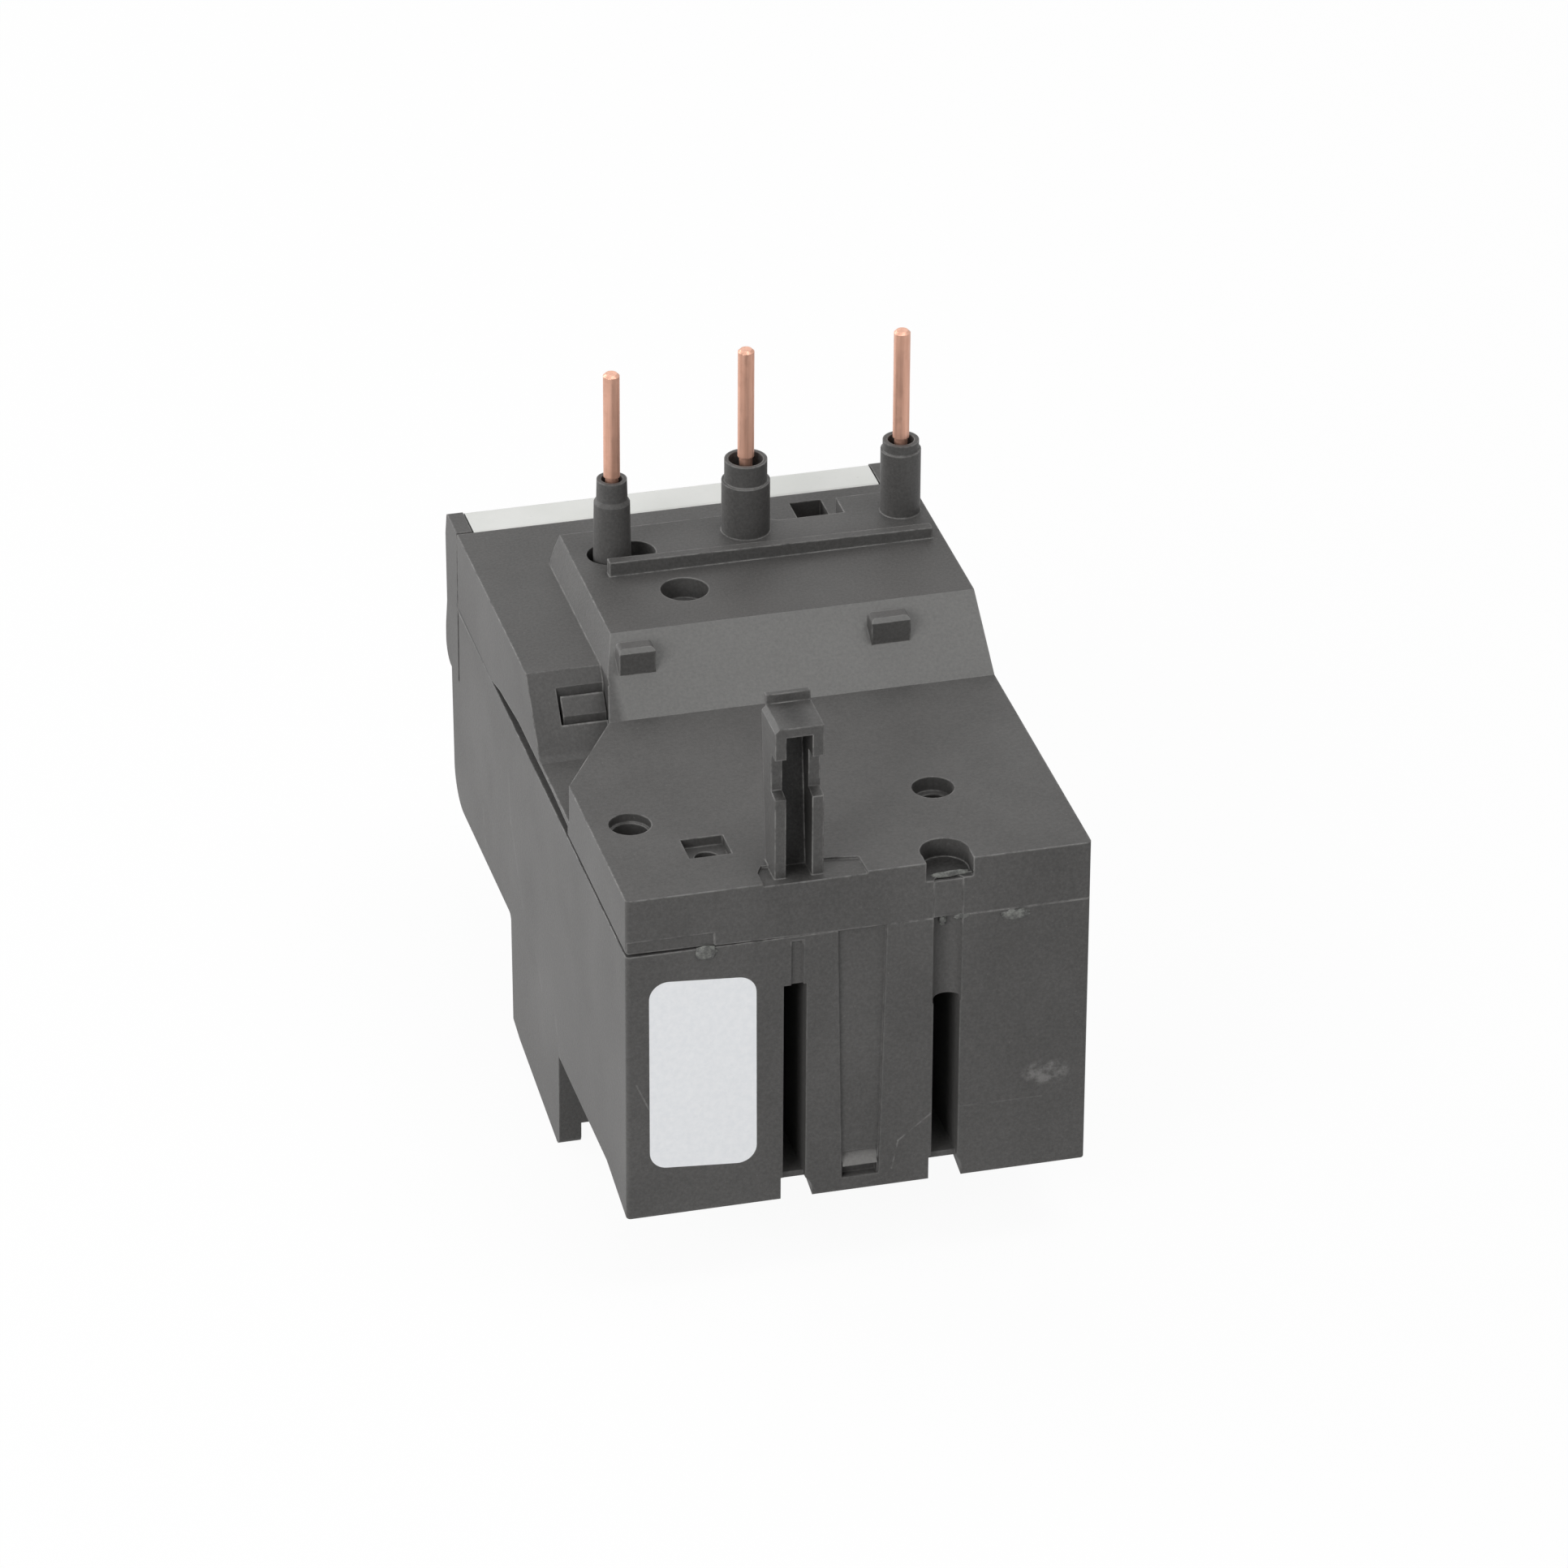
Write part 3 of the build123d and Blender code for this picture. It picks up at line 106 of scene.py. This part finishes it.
class Nodes:
    """A short way to build a node material."""

    def __init__(self, name):
        self.material = bpy.data.materials.new(name)
        self.material.use_nodes = True
        self.tree = self.material.node_tree
        self.tree.nodes.clear()
        self.output = self.tree.nodes.new("ShaderNodeOutputMaterial")
        self.coordinates = self.tree.nodes.new("ShaderNodeTexCoord").outputs["Object"]

    def link(self, source, target):
        self.tree.links.new(source, target)

    def put(self, node, key, value):
        socket = node.inputs[key]
        if isinstance(value, bpy.types.NodeSocket):
            self.link(value, socket)
        else:
            socket.default_value = value

    def noise(self, scale, detail=2.0, rough=0.5, stretch=None):
        node = self.tree.nodes.new("ShaderNodeTexNoise")
        node.inputs["Scale"].default_value = scale
        node.inputs["Detail"].default_value = detail
        node.inputs["Roughness"].default_value = rough
        if stretch:
            mapping = self.tree.nodes.new("ShaderNodeMapping")
            mapping.inputs["Scale"].default_value = stretch
            self.link(self.coordinates, mapping.inputs["Vector"])
            self.link(mapping.outputs["Vector"], node.inputs["Vector"])
        else:
            self.link(self.coordinates, node.inputs["Vector"])
        return node.outputs["Fac"]

    def math(self, operation, a, b=0.0, c=0.0, clamp=False):
        node = self.tree.nodes.new("ShaderNodeMath")
        node.operation = operation
        node.use_clamp = clamp
        for index, value in enumerate((a, b, c)):
            self.put(node, index, value)
        return node.outputs[0]

    def span(self, value, low, high, to_low=0.0, to_high=1.0, smooth=True):
        node = self.tree.nodes.new("ShaderNodeMapRange")
        node.interpolation_type = "SMOOTHSTEP" if smooth else "LINEAR"
        self.link(value, node.inputs["Value"])
        limits = (("From Min", low), ("From Max", high), ("To Min", to_low), ("To Max", to_high))
        for key, number in limits:
            node.inputs[key].default_value = number
        return node.outputs["Result"]

    def mix(self, factor, a, b):
        node = self.tree.nodes.new("ShaderNodeMix")
        node.data_type = "RGBA"
        self.put(node, "Factor", factor)
        for key, value in ((6, a), (7, b)):
            if isinstance(value, bpy.types.NodeSocket):
                self.link(value, node.inputs[key])
            else:
                node.inputs[key].default_value = (*value, 1.0)
        return node.outputs[2]

    def bump(self, height, distance, strength=1.0, normal=None):
        node = self.tree.nodes.new("ShaderNodeBump")
        node.inputs["Distance"].default_value = distance
        node.inputs["Strength"].default_value = strength
        self.link(height, node.inputs["Height"])
        if normal:
            self.link(normal, node.inputs["Normal"])
        return node.outputs["Normal"]

    def rounded(self, radius):
        node = self.tree.nodes.new("ShaderNodeBevel")
        node.samples = 6
        node.inputs["Radius"].default_value = radius
        return node.outputs["Normal"]

    def edges(self, radius):
        """1 near a sharp edge, 0 on the faces."""
        geometry = self.tree.nodes.new("ShaderNodeNewGeometry")
        product = self.tree.nodes.new("ShaderNodeVectorMath")
        product.operation = "DOT_PRODUCT"
        self.link(self.rounded(radius), product.inputs[0])
        self.link(geometry.outputs["Normal"], product.inputs[1])
        return self.span(product.outputs["Value"], 0.985, 0.85)

    def position(self):
        split = self.tree.nodes.new("ShaderNodeSeparateXYZ")
        self.link(self.coordinates, split.inputs[0])
        return split.outputs

    def normal(self):
        geometry = self.tree.nodes.new("ShaderNodeNewGeometry")
        split = self.tree.nodes.new("ShaderNodeSeparateXYZ")
        self.link(geometry.outputs["True Normal"], split.inputs[0])
        return split.outputs

    def shader(self, **values):
        node = self.tree.nodes.new("ShaderNodeBsdfPrincipled")
        for key, value in values.items():
            key = key.replace("_", " ")
            if isinstance(value, tuple) and len(value) == 3:
                value = (*value, 1.0)
            self.put(node, key, value)
        self.link(node.outputs[0], self.output.inputs["Surface"])
        return node


def spot(kit, point, radii):
    """1 inside an ellipsoid about a point, fading to 0 at its edge."""
    total = None
    for axis, (centre, radius) in enumerate(zip(point, radii)):
        offset = kit.math("DIVIDE", kit.math("SUBTRACT", kit.position()[axis], centre), radius)
        square = kit.math("MULTIPLY", offset, offset)
        total = square if total is None else kit.math("ADD", total, square)
    return kit.span(total, 1.0, 0.2)


def scratch(kit, start, end, width):
    """1 along a straight line between two points of one face, fading to 0 at its width."""
    run = end - start
    along = None
    for axis in range(3):
        offset = kit.math("SUBTRACT", kit.position()[axis], start[axis])
        part = kit.math("MULTIPLY", offset, run[axis])
        along = part if along is None else kit.math("ADD", along, part)
    share = kit.math("DIVIDE", along, run.length_squared, clamp=True)
    square = None
    for axis in range(3):
        nearest = kit.math("MULTIPLY_ADD", share, run[axis], start[axis])
        offset = kit.math("SUBTRACT", kit.position()[axis], nearest)
        part = kit.math("MULTIPLY", offset, offset)
        square = part if square is None else kit.math("ADD", square, part)
    return kit.span(kit.math("SQRT", square), width, 0.3 * width)


def marks(kit, colour, lines, width, strength, tone):
    """Lays pale broken scratches over a colour."""
    broken = kit.span(kit.noise(700.0, 3.0, 0.6), 0.35, 0.6)
    for start, end in lines:
        line = kit.math("MULTIPLY", scratch(kit, start, end, width), broken)
        colour = kit.mix(kit.math("MULTIPLY", line, strength), colour, tone)
    return colour


def painted_hollow_shade(kit, colour, point, radii):
    """Paints shade on the walls of an opening, but not on the outer faces that look to the rear or
    front.
    """
    deep = kit.span(kit.position()[1], (REAR_Y - DEEP_FROM) * MM, (REAR_Y - DEEP_TO) * MM)
    inner = kit.math("MAXIMUM", kit.span(kit.normal()[1], 0.6, 0.3), deep)
    inner = kit.math("MULTIPLY", inner, kit.span(kit.normal()[1], -0.6, -0.3))
    inside = kit.math("MULTIPLY", spot(kit, point, radii), inner)
    return kit.mix(inside, colour, (0.010, 0.0095, 0.009))


def painted_seam_shade(kit, colour):
    """Paints shade along the line on the left side where the cover meets the housing."""
    for start, end in SIDE_SEAM_SHADE:
        line = kit.math("MULTIPLY", scratch(kit, start, end, SEAM_WIDTH), 0.85)
        colour = kit.mix(line, colour, (0.006, 0.006, 0.006))
    return colour


def painted_slope_highlight(kit, colour):
    """A painted highlight that makes the slope between the plateau and the platform of the pins
    paler.
    """
    normal = kit.normal()
    slope_highlight_mask = kit.math("MULTIPLY", kit.span(normal[1], 0.45, 0.52), kit.span(normal[2], 0.6, 0.7))
    for edge, fade in ((SLOPE_FOOT, -SLOPE_FADE), (SLOPE_HEAD, SLOPE_FADE)):
        reach = (REAR_Y - edge) * MM
        slope_highlight_mask = kit.math("MULTIPLY", slope_highlight_mask, kit.span(kit.position()[1], reach, reach + fade))
    slope_highlight_mask = kit.math("MULTIPLY", slope_highlight_mask, kit.span(kit.position()[0], *SLOPE_SIDE))
    # painted highlight: the slope that faces the rear and up is made paler in colour
    return kit.mix(slope_highlight_mask, colour, (0.142, 0.141, 0.137))


def rear_marks_and_highlight(kit, colour):
    """The rubbed patch, the scratches and scuffs of the housing, and a painted highlight on the
    upward facet of its catch.
    """
    patch = kit.span(kit.noise(900.0, 4.0, 0.7), 0.36, 0.66)
    rub = kit.math("MULTIPLY", spot(kit, *RUBBED_PATCH), patch)
    colour = kit.mix(kit.math("MULTIPLY", rub, 0.5), colour, (0.26, 0.255, 0.25))
    colour = marks(kit, colour, REAR_SCRATCHES, 0.00012, 0.45, (0.23, 0.227, 0.22))
    colour = marks(kit, colour, FAINT_SCRATCHES, 0.0001, 0.18, (0.21, 0.208, 0.202))
    colour = marks(kit, colour, SIDE_SCUFFS, 0.0004, 0.25, (0.16, 0.157, 0.153))
    # painted highlight: the upward facet of the catch is made paler
    facet = kit.math("MULTIPLY", spot(kit, *CATCH_FACET_HIGHLIGHT), kit.span(kit.normal()[2], 0.3, 0.42))
    return kit.mix(facet, colour, (0.165, 0.162, 0.157))


def worn_edges_and_highlight(kit, cover, housing):
    """Where sharp edges are paler, partly rubbed and partly painted highlight: less below the
    joint, and not at the filled groove.
    """
    wear_and_highlight = kit.math("MULTIPLY", kit.edges(0.0003), kit.span(kit.noise(500.0, 4.0, 0.7), 0.3, 0.65))
    if housing:
        wear_and_highlight = kit.math("MULTIPLY", wear_and_highlight, kit.span(kit.position()[2], *JOINT_FADE, 0.3, 1.0))
    if cover:
        groove = spot(kit, *KEYHOLE_GROOVE)
        wear_and_highlight = kit.math("MULTIPLY", wear_and_highlight, kit.math("SUBTRACT", 1.0, groove))
    return wear_and_highlight


def dark_plastic(name, cover=False, housing=False):
    """The near-black moulded plastic: fine grain, faint clouds, specks of dust and paler edges,
    partly worn and partly painted highlight.
    """
    kit = Nodes(name)
    clouds = kit.span(kit.noise(70.0, 4.0, 0.6), 0.35, 0.7)
    streaks = kit.span(kit.noise(110.0, 2.0, 0.5, stretch=(1.0, 0.8, 0.5)), 0.4, 0.75)
    colour = kit.mix(clouds, (0.056, 0.0545, 0.0530), (0.068, 0.0662, 0.0645))
    colour = kit.mix(kit.math("MULTIPLY", streaks, 0.5), colour, (0.084, 0.082, 0.080))
    specks = kit.span(kit.noise(2600.0, 2.0, 0.7), 0.70, 0.80)
    colour = kit.mix(kit.math("MULTIPLY", specks, 0.5), colour, (0.165, 0.160, 0.154))
    if cover:
        # painted highlight on the slope
        colour = painted_slope_highlight(kit, colour)
    if housing:
        colour = rear_marks_and_highlight(kit, colour)
    if cover:
        # painted shade inside the hook's post and the keyhole
        colour = painted_hollow_shade(kit, colour, *HOOK_PAINTED_SHADE)
        colour = painted_hollow_shade(kit, colour, *KEYHOLE_PAINTED_SHADE)
    # painted shade in the gap at the joint
    colour = painted_seam_shade(kit, colour)
    fine = kit.span(kit.noise(3200.0, 3.0, 0.7), 0.3, 0.7, smooth=False)
    colour = kit.mix(kit.math("MULTIPLY", fine, 0.16), colour, (0.16, 0.157, 0.152))
    pits = kit.math("MULTIPLY", kit.math("SUBTRACT", 1.0, fine), 0.22)
    colour = kit.mix(pits, colour, (0.02, 0.0195, 0.019))
    wear_and_highlight = worn_edges_and_highlight(kit, cover, housing)
    # paler edges: partly wear, partly painted highlight
    colour = kit.mix(kit.math("MULTIPLY", wear_and_highlight, 0.75), colour, (0.29, 0.286, 0.278))
    rough = kit.span(kit.noise(60.0, 3.0, 0.5), 0.3, 0.7, 0.50, 0.58)
    grain = kit.noise(3800.0, 3.0, 0.6)
    normal = kit.bump(grain, 0.00006, 0.5, kit.rounded(0.00018))
    waves = kit.noise(90.0, 1.0, 0.4)
    normal = kit.bump(waves, 0.0006, 0.12, normal)
    kit.shader(Base_Color=colour, Roughness=rough, Normal=normal, Specular_IOR_Level=0.3)
    return kit.material


def dial_marks(kit, colour):
    """Dark ticks in a ring round the setting dial, within its range."""
    across = kit.math("SUBTRACT", kit.position()[0], DIAL_X)
    up = kit.math("SUBTRACT", kit.position()[2], DIAL_HEIGHT)
    squares = kit.math("ADD", kit.math("MULTIPLY", across, across), kit.math("MULTIPLY", up, up))
    radius = kit.math("SQRT", squares)
    angle = kit.math("ARCTAN2", across, up)
    step = kit.math("FRACT", kit.math("MULTIPLY_ADD", angle, DIAL_STEPS / (2 * math.pi), 0.5))
    off = kit.math("ABSOLUTE", kit.math("SUBTRACT", step, 0.5))
    inner = kit.span(radius, *DIAL_RING_INNER)
    ring = kit.math("MULTIPLY", inner, kit.span(radius, *DIAL_RING_OUTER))
    ring = kit.math("MULTIPLY", ring, kit.span(kit.math("ABSOLUTE", angle), *DIAL_RING_END))
    tick = kit.math("MULTIPLY", ring, kit.span(off, 0.075, 0.05))
    return kit.mix(kit.math("MULTIPLY", tick, 0.85), colour, (0.10, 0.10, 0.10))


def plain_plastic(
    name, base, shade, rough_low=0.35, rough_high=0.5, grain=0.35, speck=0.0, scale=False
):
    """A coloured moulded plastic with a soft mottle and grain."""
    kit = Nodes(name)
    colour = kit.mix(kit.span(kit.noise(150.0, 3.0, 0.6), 0.3, 0.7), base, shade)
    if speck:
        dots = kit.span(kit.noise(1800.0, 2.0, 0.6), 0.68, 0.76)
        colour = kit.mix(kit.math("MULTIPLY", dots, speck), colour, tuple(0.45 * c for c in base))
    if scale:
        colour = dial_marks(kit, colour)
    # paler edges: partly wear, partly painted highlight
    wear_and_highlight = kit.math("MULTIPLY", kit.edges(0.0002), 0.3)
    colour = kit.mix(wear_and_highlight, colour, tuple(min(1.0, 1.25 * c + 0.02) for c in base))
    rough = kit.span(kit.noise(300.0, 3.0, 0.6), 0.3, 0.7, rough_low, rough_high)
    normal = kit.bump(kit.noise(2600.0, 3.0, 0.6), 0.00004, grain, kit.rounded(0.00012))
    kit.shader(Base_Color=colour, Roughness=rough, Normal=normal, Specular_IOR_Level=0.5)
    return kit.material


def drawn_metal(
    name, base, shade, stretch, rough_low, rough_high, tarnish=(0.0, 0.0, 0.0), dull=0.0, metal=1.0
):
    """A metal with draw marks along one axis, a mottle and a little tarnish."""
    kit = Nodes(name)
    lines = kit.noise(900.0, 3.0, 0.6, stretch=stretch)
    colour = kit.mix(kit.span(lines, 0.3, 0.7), base, shade)
    if dull:
        stain = kit.span(kit.noise(350.0, 4.0, 0.65), 0.5, 0.75)
        colour = kit.mix(kit.math("MULTIPLY", stain, dull), colour, tarnish)
    rough = kit.span(kit.noise(600.0, 3.0, 0.6), 0.3, 0.7, rough_low, rough_high)
    normal = kit.bump(lines, 0.00003, 0.5, kit.rounded(0.00008))
    kit.shader(Base_Color=colour, Roughness=rough, Normal=normal, Metallic=metal)
    return kit.material


def clear_plastic(name):
    """The clear flap: almost colourless, with faint flow marks."""
    kit = Nodes(name)
    rough = kit.span(kit.noise(200.0, 3.0, 0.5), 0.3, 0.7, 0.04, 0.14)
    flow = kit.span(kit.noise(60.0, 2.0, 0.5), 0.3, 0.7)
    colour = kit.mix(flow, (0.90, 0.92, 0.93), (0.96, 0.97, 0.97))
    normal = kit.bump(kit.noise(80.0, 2.0, 0.5), 0.0002, 0.1, kit.rounded(0.00012))
    kit.shader(
        Base_Color=colour, Roughness=rough, Normal=normal, Transmission_Weight=0.92, IOR=1.49
    )
    return kit.material


def paper(name):
    """The cool white paper of the bare label, with fibres and a soiled rim."""
    kit = Nodes(name)
    fibres = kit.noise(1500.0, 4.0, 0.65)
    colour = kit.mix(kit.span(fibres, 0.3, 0.7), (0.70, 0.715, 0.735), (0.745, 0.755, 0.77))
    dirt = kit.span(kit.noise(420.0, 4.0, 0.7), 0.66, 0.78)
    colour = kit.mix(kit.math("MULTIPLY", dirt, 0.25), colour, (0.52, 0.50, 0.47))
    normal = kit.bump(fibres, 0.00003, 0.4)
    kit.shader(Base_Color=colour, Roughness=0.55, Normal=normal, Specular_IOR_Level=0.4)
    return kit.material


def glue(name):
    """Pale, cloudy beads of set glue and burr."""
    kit = Nodes(name)
    cloud = kit.span(kit.noise(1200.0, 4.0, 0.7), 0.4, 0.65)
    colour = kit.mix(cloud, (0.05, 0.05, 0.048), (0.15, 0.155, 0.142))
    normal = kit.bump(kit.noise(1500.0, 4.0, 0.7), 0.00015, 0.7)
    kit.shader(Base_Color=colour, Roughness=0.4, Normal=normal, Specular_IOR_Level=0.5)
    return kit.material


HOUSING = dark_plastic("housing_plastic_dark", housing=True)
COVER = dark_plastic("cover_plastic_dark", cover=True)
PALE = plain_plastic(
    "panel_plastic_pale", (0.60, 0.61, 0.585), (0.655, 0.66, 0.64), speck=0.15, scale=True
)
WHITE = plain_plastic("white_plastic_mottled", (0.66, 0.65, 0.61), (0.74, 0.73, 0.69))
DIAL = plain_plastic("dial_plastic_white", (0.70, 0.69, 0.66), (0.77, 0.76, 0.73))
BLUE = plain_plastic("button_plastic_blue", (0.015, 0.075, 0.42), (0.02, 0.095, 0.50), 0.25, 0.38)
RED = plain_plastic("button_plastic_red", (0.50, 0.022, 0.018), (0.60, 0.03, 0.022), 0.25, 0.38)
ORANGE = plain_plastic("flag_plastic_orange", (0.78, 0.22, 0.02), (0.86, 0.28, 0.03))
BROWN = plain_plastic(
    "slide_laminate_brown", (0.16, 0.075, 0.032), (0.23, 0.115, 0.052), 0.4, 0.55, 0.6
)
COPPER = drawn_metal(
    "copper_drawn", (0.60, 0.335, 0.245), (0.72, 0.42, 0.315), (3.0, 3.0, 0.12), 0.38, 0.52,
    tarnish=(0.36, 0.19, 0.13), dull=0.35, metal=0.75,
)
BRASS = drawn_metal(
    "contact_brass", (0.66, 0.55, 0.33), (0.76, 0.66, 0.43), (0.2, 3.0, 3.0), 0.28, 0.42
)
ZINC = drawn_metal(
    "zinc_plated_steel", (0.58, 0.59, 0.61), (0.70, 0.70, 0.71), (2.0, 0.3, 2.0), 0.28, 0.45,
    tarnish=(0.42, 0.38, 0.30), dull=0.25,
)
STEEL = drawn_metal(
    "spring_wire", (0.50, 0.50, 0.51), (0.62, 0.62, 0.63), (1.0, 1.0, 1.0), 0.25, 0.4
)
BIMETAL = drawn_metal(
    "bimetal_rolled", (0.48, 0.47, 0.45), (0.58, 0.56, 0.53), (3.0, 3.0, 0.2), 0.3, 0.45
)
HEATER = drawn_metal(
    "heater_ribbon", (0.33, 0.30, 0.27), (0.45, 0.40, 0.35), (0.5, 0.5, 3.0), 0.4, 0.55,
    tarnish=(0.16, 0.11, 0.09), dull=0.4,
)
CLEAR = clear_plastic("flap_clear")
PAPER = paper("label_paper_bare")
GLUE = glue("glue_beads")

FINISHES = {
    "main_housing": HOUSING,
    "top_cover": COVER,
    "mechanism_frame": COVER,
    "sliding_sleeve": COVER,
    "test_label": PAPER,
    "front_panel": PALE,
    "flap": CLEAR,
    "setting_dial": DIAL,
    "setting_cam": WHITE,
    "mode_selector": DIAL,
    "reset_button": BLUE,
    "stop_button": RED,
    "reset_spring": STEEL,
    "stop_spring": STEEL,
    "test_slider": WHITE,
    "trip_flag": ORANGE,
    "trip_slide": BROWN,
    "difference_slide": BROWN,
    "trip_lever": WHITE,
    "lever_pivot": STEEL,
    "contact_carrier": WHITE,
    "bridge_normally_open": BRASS,
    "bridge_normally_closed": BRASS,
    "fixed_contacts": BRASS,
    "power_screws": ZINC,
    "power_clamps": ZINC,
    "aux_screws": ZINC,
    "aux_clamps": ZINC,
}
for index in (1, 2, 3):
    FINISHES[f"contact_pin_{index}"] = COPPER
    FINISHES[f"bimetal_{index}"] = BIMETAL
    FINISHES[f"heater_{index}"] = HEATER
    FINISHES[f"pole_conductor_{index}"] = COPPER
for name, finish in FINISHES.items():
    part = nodes[name]
    part.data.materials.clear()
    part.data.materials.append(finish)


def bead(name, centre, size, seed, body="relay"):
    """A lump of set glue, pressed against the face that it sits on."""
    mesh = bpy.data.meshes.new(name)
    shape = bmesh.new()
    bmesh.ops.create_icosphere(shape, subdivisions=4, radius=1.0)
    for vertex in shape.verts:
        lump = noise.noise(vertex.co * 2.2 + Vector((seed, seed * 0.7, -seed)))
        ripple = noise.noise(vertex.co * 6.0 + Vector((-seed, seed, seed)))
        vertex.co *= 1.0 + 0.32 * lump + 0.12 * ripple
        vertex.co = Vector(centre) + Vector([c * s * MM for c, s in zip(vertex.co, size)])
    shape.to_mesh(mesh)
    shape.free()
    for polygon in mesh.polygons:
        polygon.use_smooth = True
    piece = bpy.data.objects.new(name, mesh)
    bpy.context.scene.collection.objects.link(piece)
    piece.data.materials.append(GLUE)
    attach(piece, body)


def groove_fill(name, x, low, high, half, face):
    """A thin filling that leaves only a faint step where the keyhole's groove crosses the cover."""
    mesh = bpy.data.meshes.new(name)
    shape = bmesh.new()
    bmesh.ops.create_cube(shape, size=1.0)
    for vertex in shape.verts:
        side = x + 2 * half * vertex.co.x
        height = (low + high) / 2 + (high - low) * vertex.co.z
        depth = face + FILL_THICKNESS / 2 - FILL_THICKNESS * vertex.co.y
        vertex.co = at(side, depth, height)
    shape.to_mesh(mesh)
    shape.free()
    piece = bpy.data.objects.new(name, mesh)
    bpy.context.scene.collection.objects.link(piece)
    piece.data.materials.append(COVER)
    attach(piece, "relay")


bead("glue_bead_label_side", at(14.8, 0.02, 36.75), (1.05, 0.32, 0.72), 3.1)
bead("glue_film_keyhole_side", at(-9.9, 0.02, 37.1), (0.75, 0.14, 0.24), 5.2)
bead("glue_drip_keyhole_side", at(-8.25, 0.85, 36.5), (0.38, 0.3, 0.6), 7.7)
bead("glue_bead_edge_side", at(-15.2, 0.02, 36.6), (1.45, 0.22, 0.52), 12.4)
bead("burr_keyhole_mouth", at(-8.7, 0.22, 41.75), (1.9, 0.12, 0.3), 20.6)
groove_fill("keyhole_groove_fill", -8.6, 37.3, 41.2, 1.42, 0.03)

# The camera, solved from the photograph's straight edges
LENS_PIXELS = 11128.0
PHOTO_PIXELS = 1932
RIGHT = Vector((-0.96677, 0.25558, 0.00515))
DOWN = Vector((0.1227, 0.48162, -0.86775))
AHEAD = Vector((-0.22426, -0.83828, -0.49698))
CAMERA_PLACE = Vector((0.1944, 0.6990 + REAR_Y * MM, 0.4249 + PLATEAU * MM))

data = bpy.data.cameras.new("camera")
data.sensor_width = 36.0
data.lens = LENS_PIXELS / PHOTO_PIXELS * data.sensor_width
data.clip_start = 0.05
data.clip_end = 20.0
camera = bpy.data.objects.new("camera", data)
axes = Matrix((RIGHT, -DOWN, -AHEAD)).transposed()
camera.matrix_world = Matrix.Translation(CAMERA_PLACE) @ axes.to_4x4()
bpy.context.scene.collection.objects.link(camera)
bpy.context.scene.camera = camera


def stage_floor(half, seen_share):
    """A large pale floor that stays white to the camera and keeps a soft shadow."""
    mesh = bpy.data.meshes.new("floor")
    corners = [(-half, -half, 0), (half, -half, 0), (half, half, 0), (-half, half, 0)]
    mesh.from_pydata(corners, [], [(0, 1, 2, 3)])
    floor = bpy.data.objects.new("floor", mesh)
    bpy.context.scene.collection.objects.link(floor)
    kit = Nodes("floor_white")
    light = kit.tree.nodes.new("ShaderNodeLightPath")
    diffuse = kit.tree.nodes.new("ShaderNodeBsdfDiffuse")
    diffuse.inputs["Color"].default_value = (0.86, 0.86, 0.86, 1.0)
    glow = kit.tree.nodes.new("ShaderNodeEmission")
    glow.inputs["Color"].default_value = (1.0, 1.0, 1.0, 1.0)
    glow.inputs["Strength"].default_value = 1.0
    seen = light.outputs["Is Camera Ray"]
    for ray in ("Is Glossy Ray", "Is Transmission Ray"):
        seen = kit.math("MAXIMUM", seen, light.outputs[ray])
    seen = kit.math("MULTIPLY", seen, seen_share)
    mix = kit.tree.nodes.new("ShaderNodeMixShader")
    kit.link(seen, mix.inputs[0])
    kit.link(diffuse.outputs[0], mix.inputs[1])
    kit.link(glow.outputs[0], mix.inputs[2])
    kit.link(mix.outputs[0], kit.output.inputs["Surface"])
    floor.data.materials.append(kit.material)


def studio_world(strength):
    """White to the camera, and an even soft light for everything else."""
    world = bpy.data.worlds.new("studio")
    bpy.context.scene.world = world
    world.use_nodes = True
    tree = world.node_tree
    tree.nodes.clear()
    output = tree.nodes.new("ShaderNodeOutputWorld")
    light = tree.nodes.new("ShaderNodeLightPath")
    direct = tree.nodes.new("ShaderNodeBackground")
    direct.inputs["Color"].default_value = (1.0, 1.0, 1.0, 1.0)
    direct.inputs["Strength"].default_value = 1.0
    fill = tree.nodes.new("ShaderNodeBackground")
    fill.inputs["Color"].default_value = (1.0, 1.0, 1.0, 1.0)
    fill.inputs["Strength"].default_value = strength
    mix = tree.nodes.new("ShaderNodeMixShader")
    seen = light.outputs["Is Camera Ray"]
    for ray in ("Is Glossy Ray", "Is Transmission Ray"):
        either = tree.nodes.new("ShaderNodeMath")
        either.operation = "MAXIMUM"
        tree.links.new(seen, either.inputs[0])
        tree.links.new(light.outputs[ray], either.inputs[1])
        seen = either.outputs[0]
    tree.links.new(seen, mix.inputs[0])
    tree.links.new(fill.outputs[0], mix.inputs[1])
    tree.links.new(direct.outputs[0], mix.inputs[2])
    tree.links.new(mix.outputs[0], output.inputs["Surface"])


def softbox(name, place, target, size, power):
    """A square area lamp that looks at a point."""
    lamp = bpy.data.lights.new(name, "AREA")
    lamp.shape = "SQUARE"
    lamp.size = size
    lamp.energy = power
    holder = bpy.data.objects.new(name, lamp)
    holder.location = place
    holder.rotation_euler = (Vector(target) - Vector(place)).to_track_quat("-Z", "Y").to_euler()
    bpy.context.scene.collection.objects.link(holder)


stage_floor(half=6, seen_share=0.94)
studio_world(strength=0.3)
middle = (0.0, 0.0, 0.03)
softbox("lamp_overhead", (-0.15, 0.15, 0.75), middle, 0.4, 2.1)
softbox("lamp_rear_left", (0.75, 0.7, 0.55), middle, 0.6, 7.4)
softbox("lamp_front_left", (0.7, -0.6, 0.25), middle, 0.5, 5.2)
softbox("lamp_front_top", (0.0, -0.55, 0.65), middle, 0.5, 0.85)

bpy.context.scene.view_settings.view_transform = "Standard"
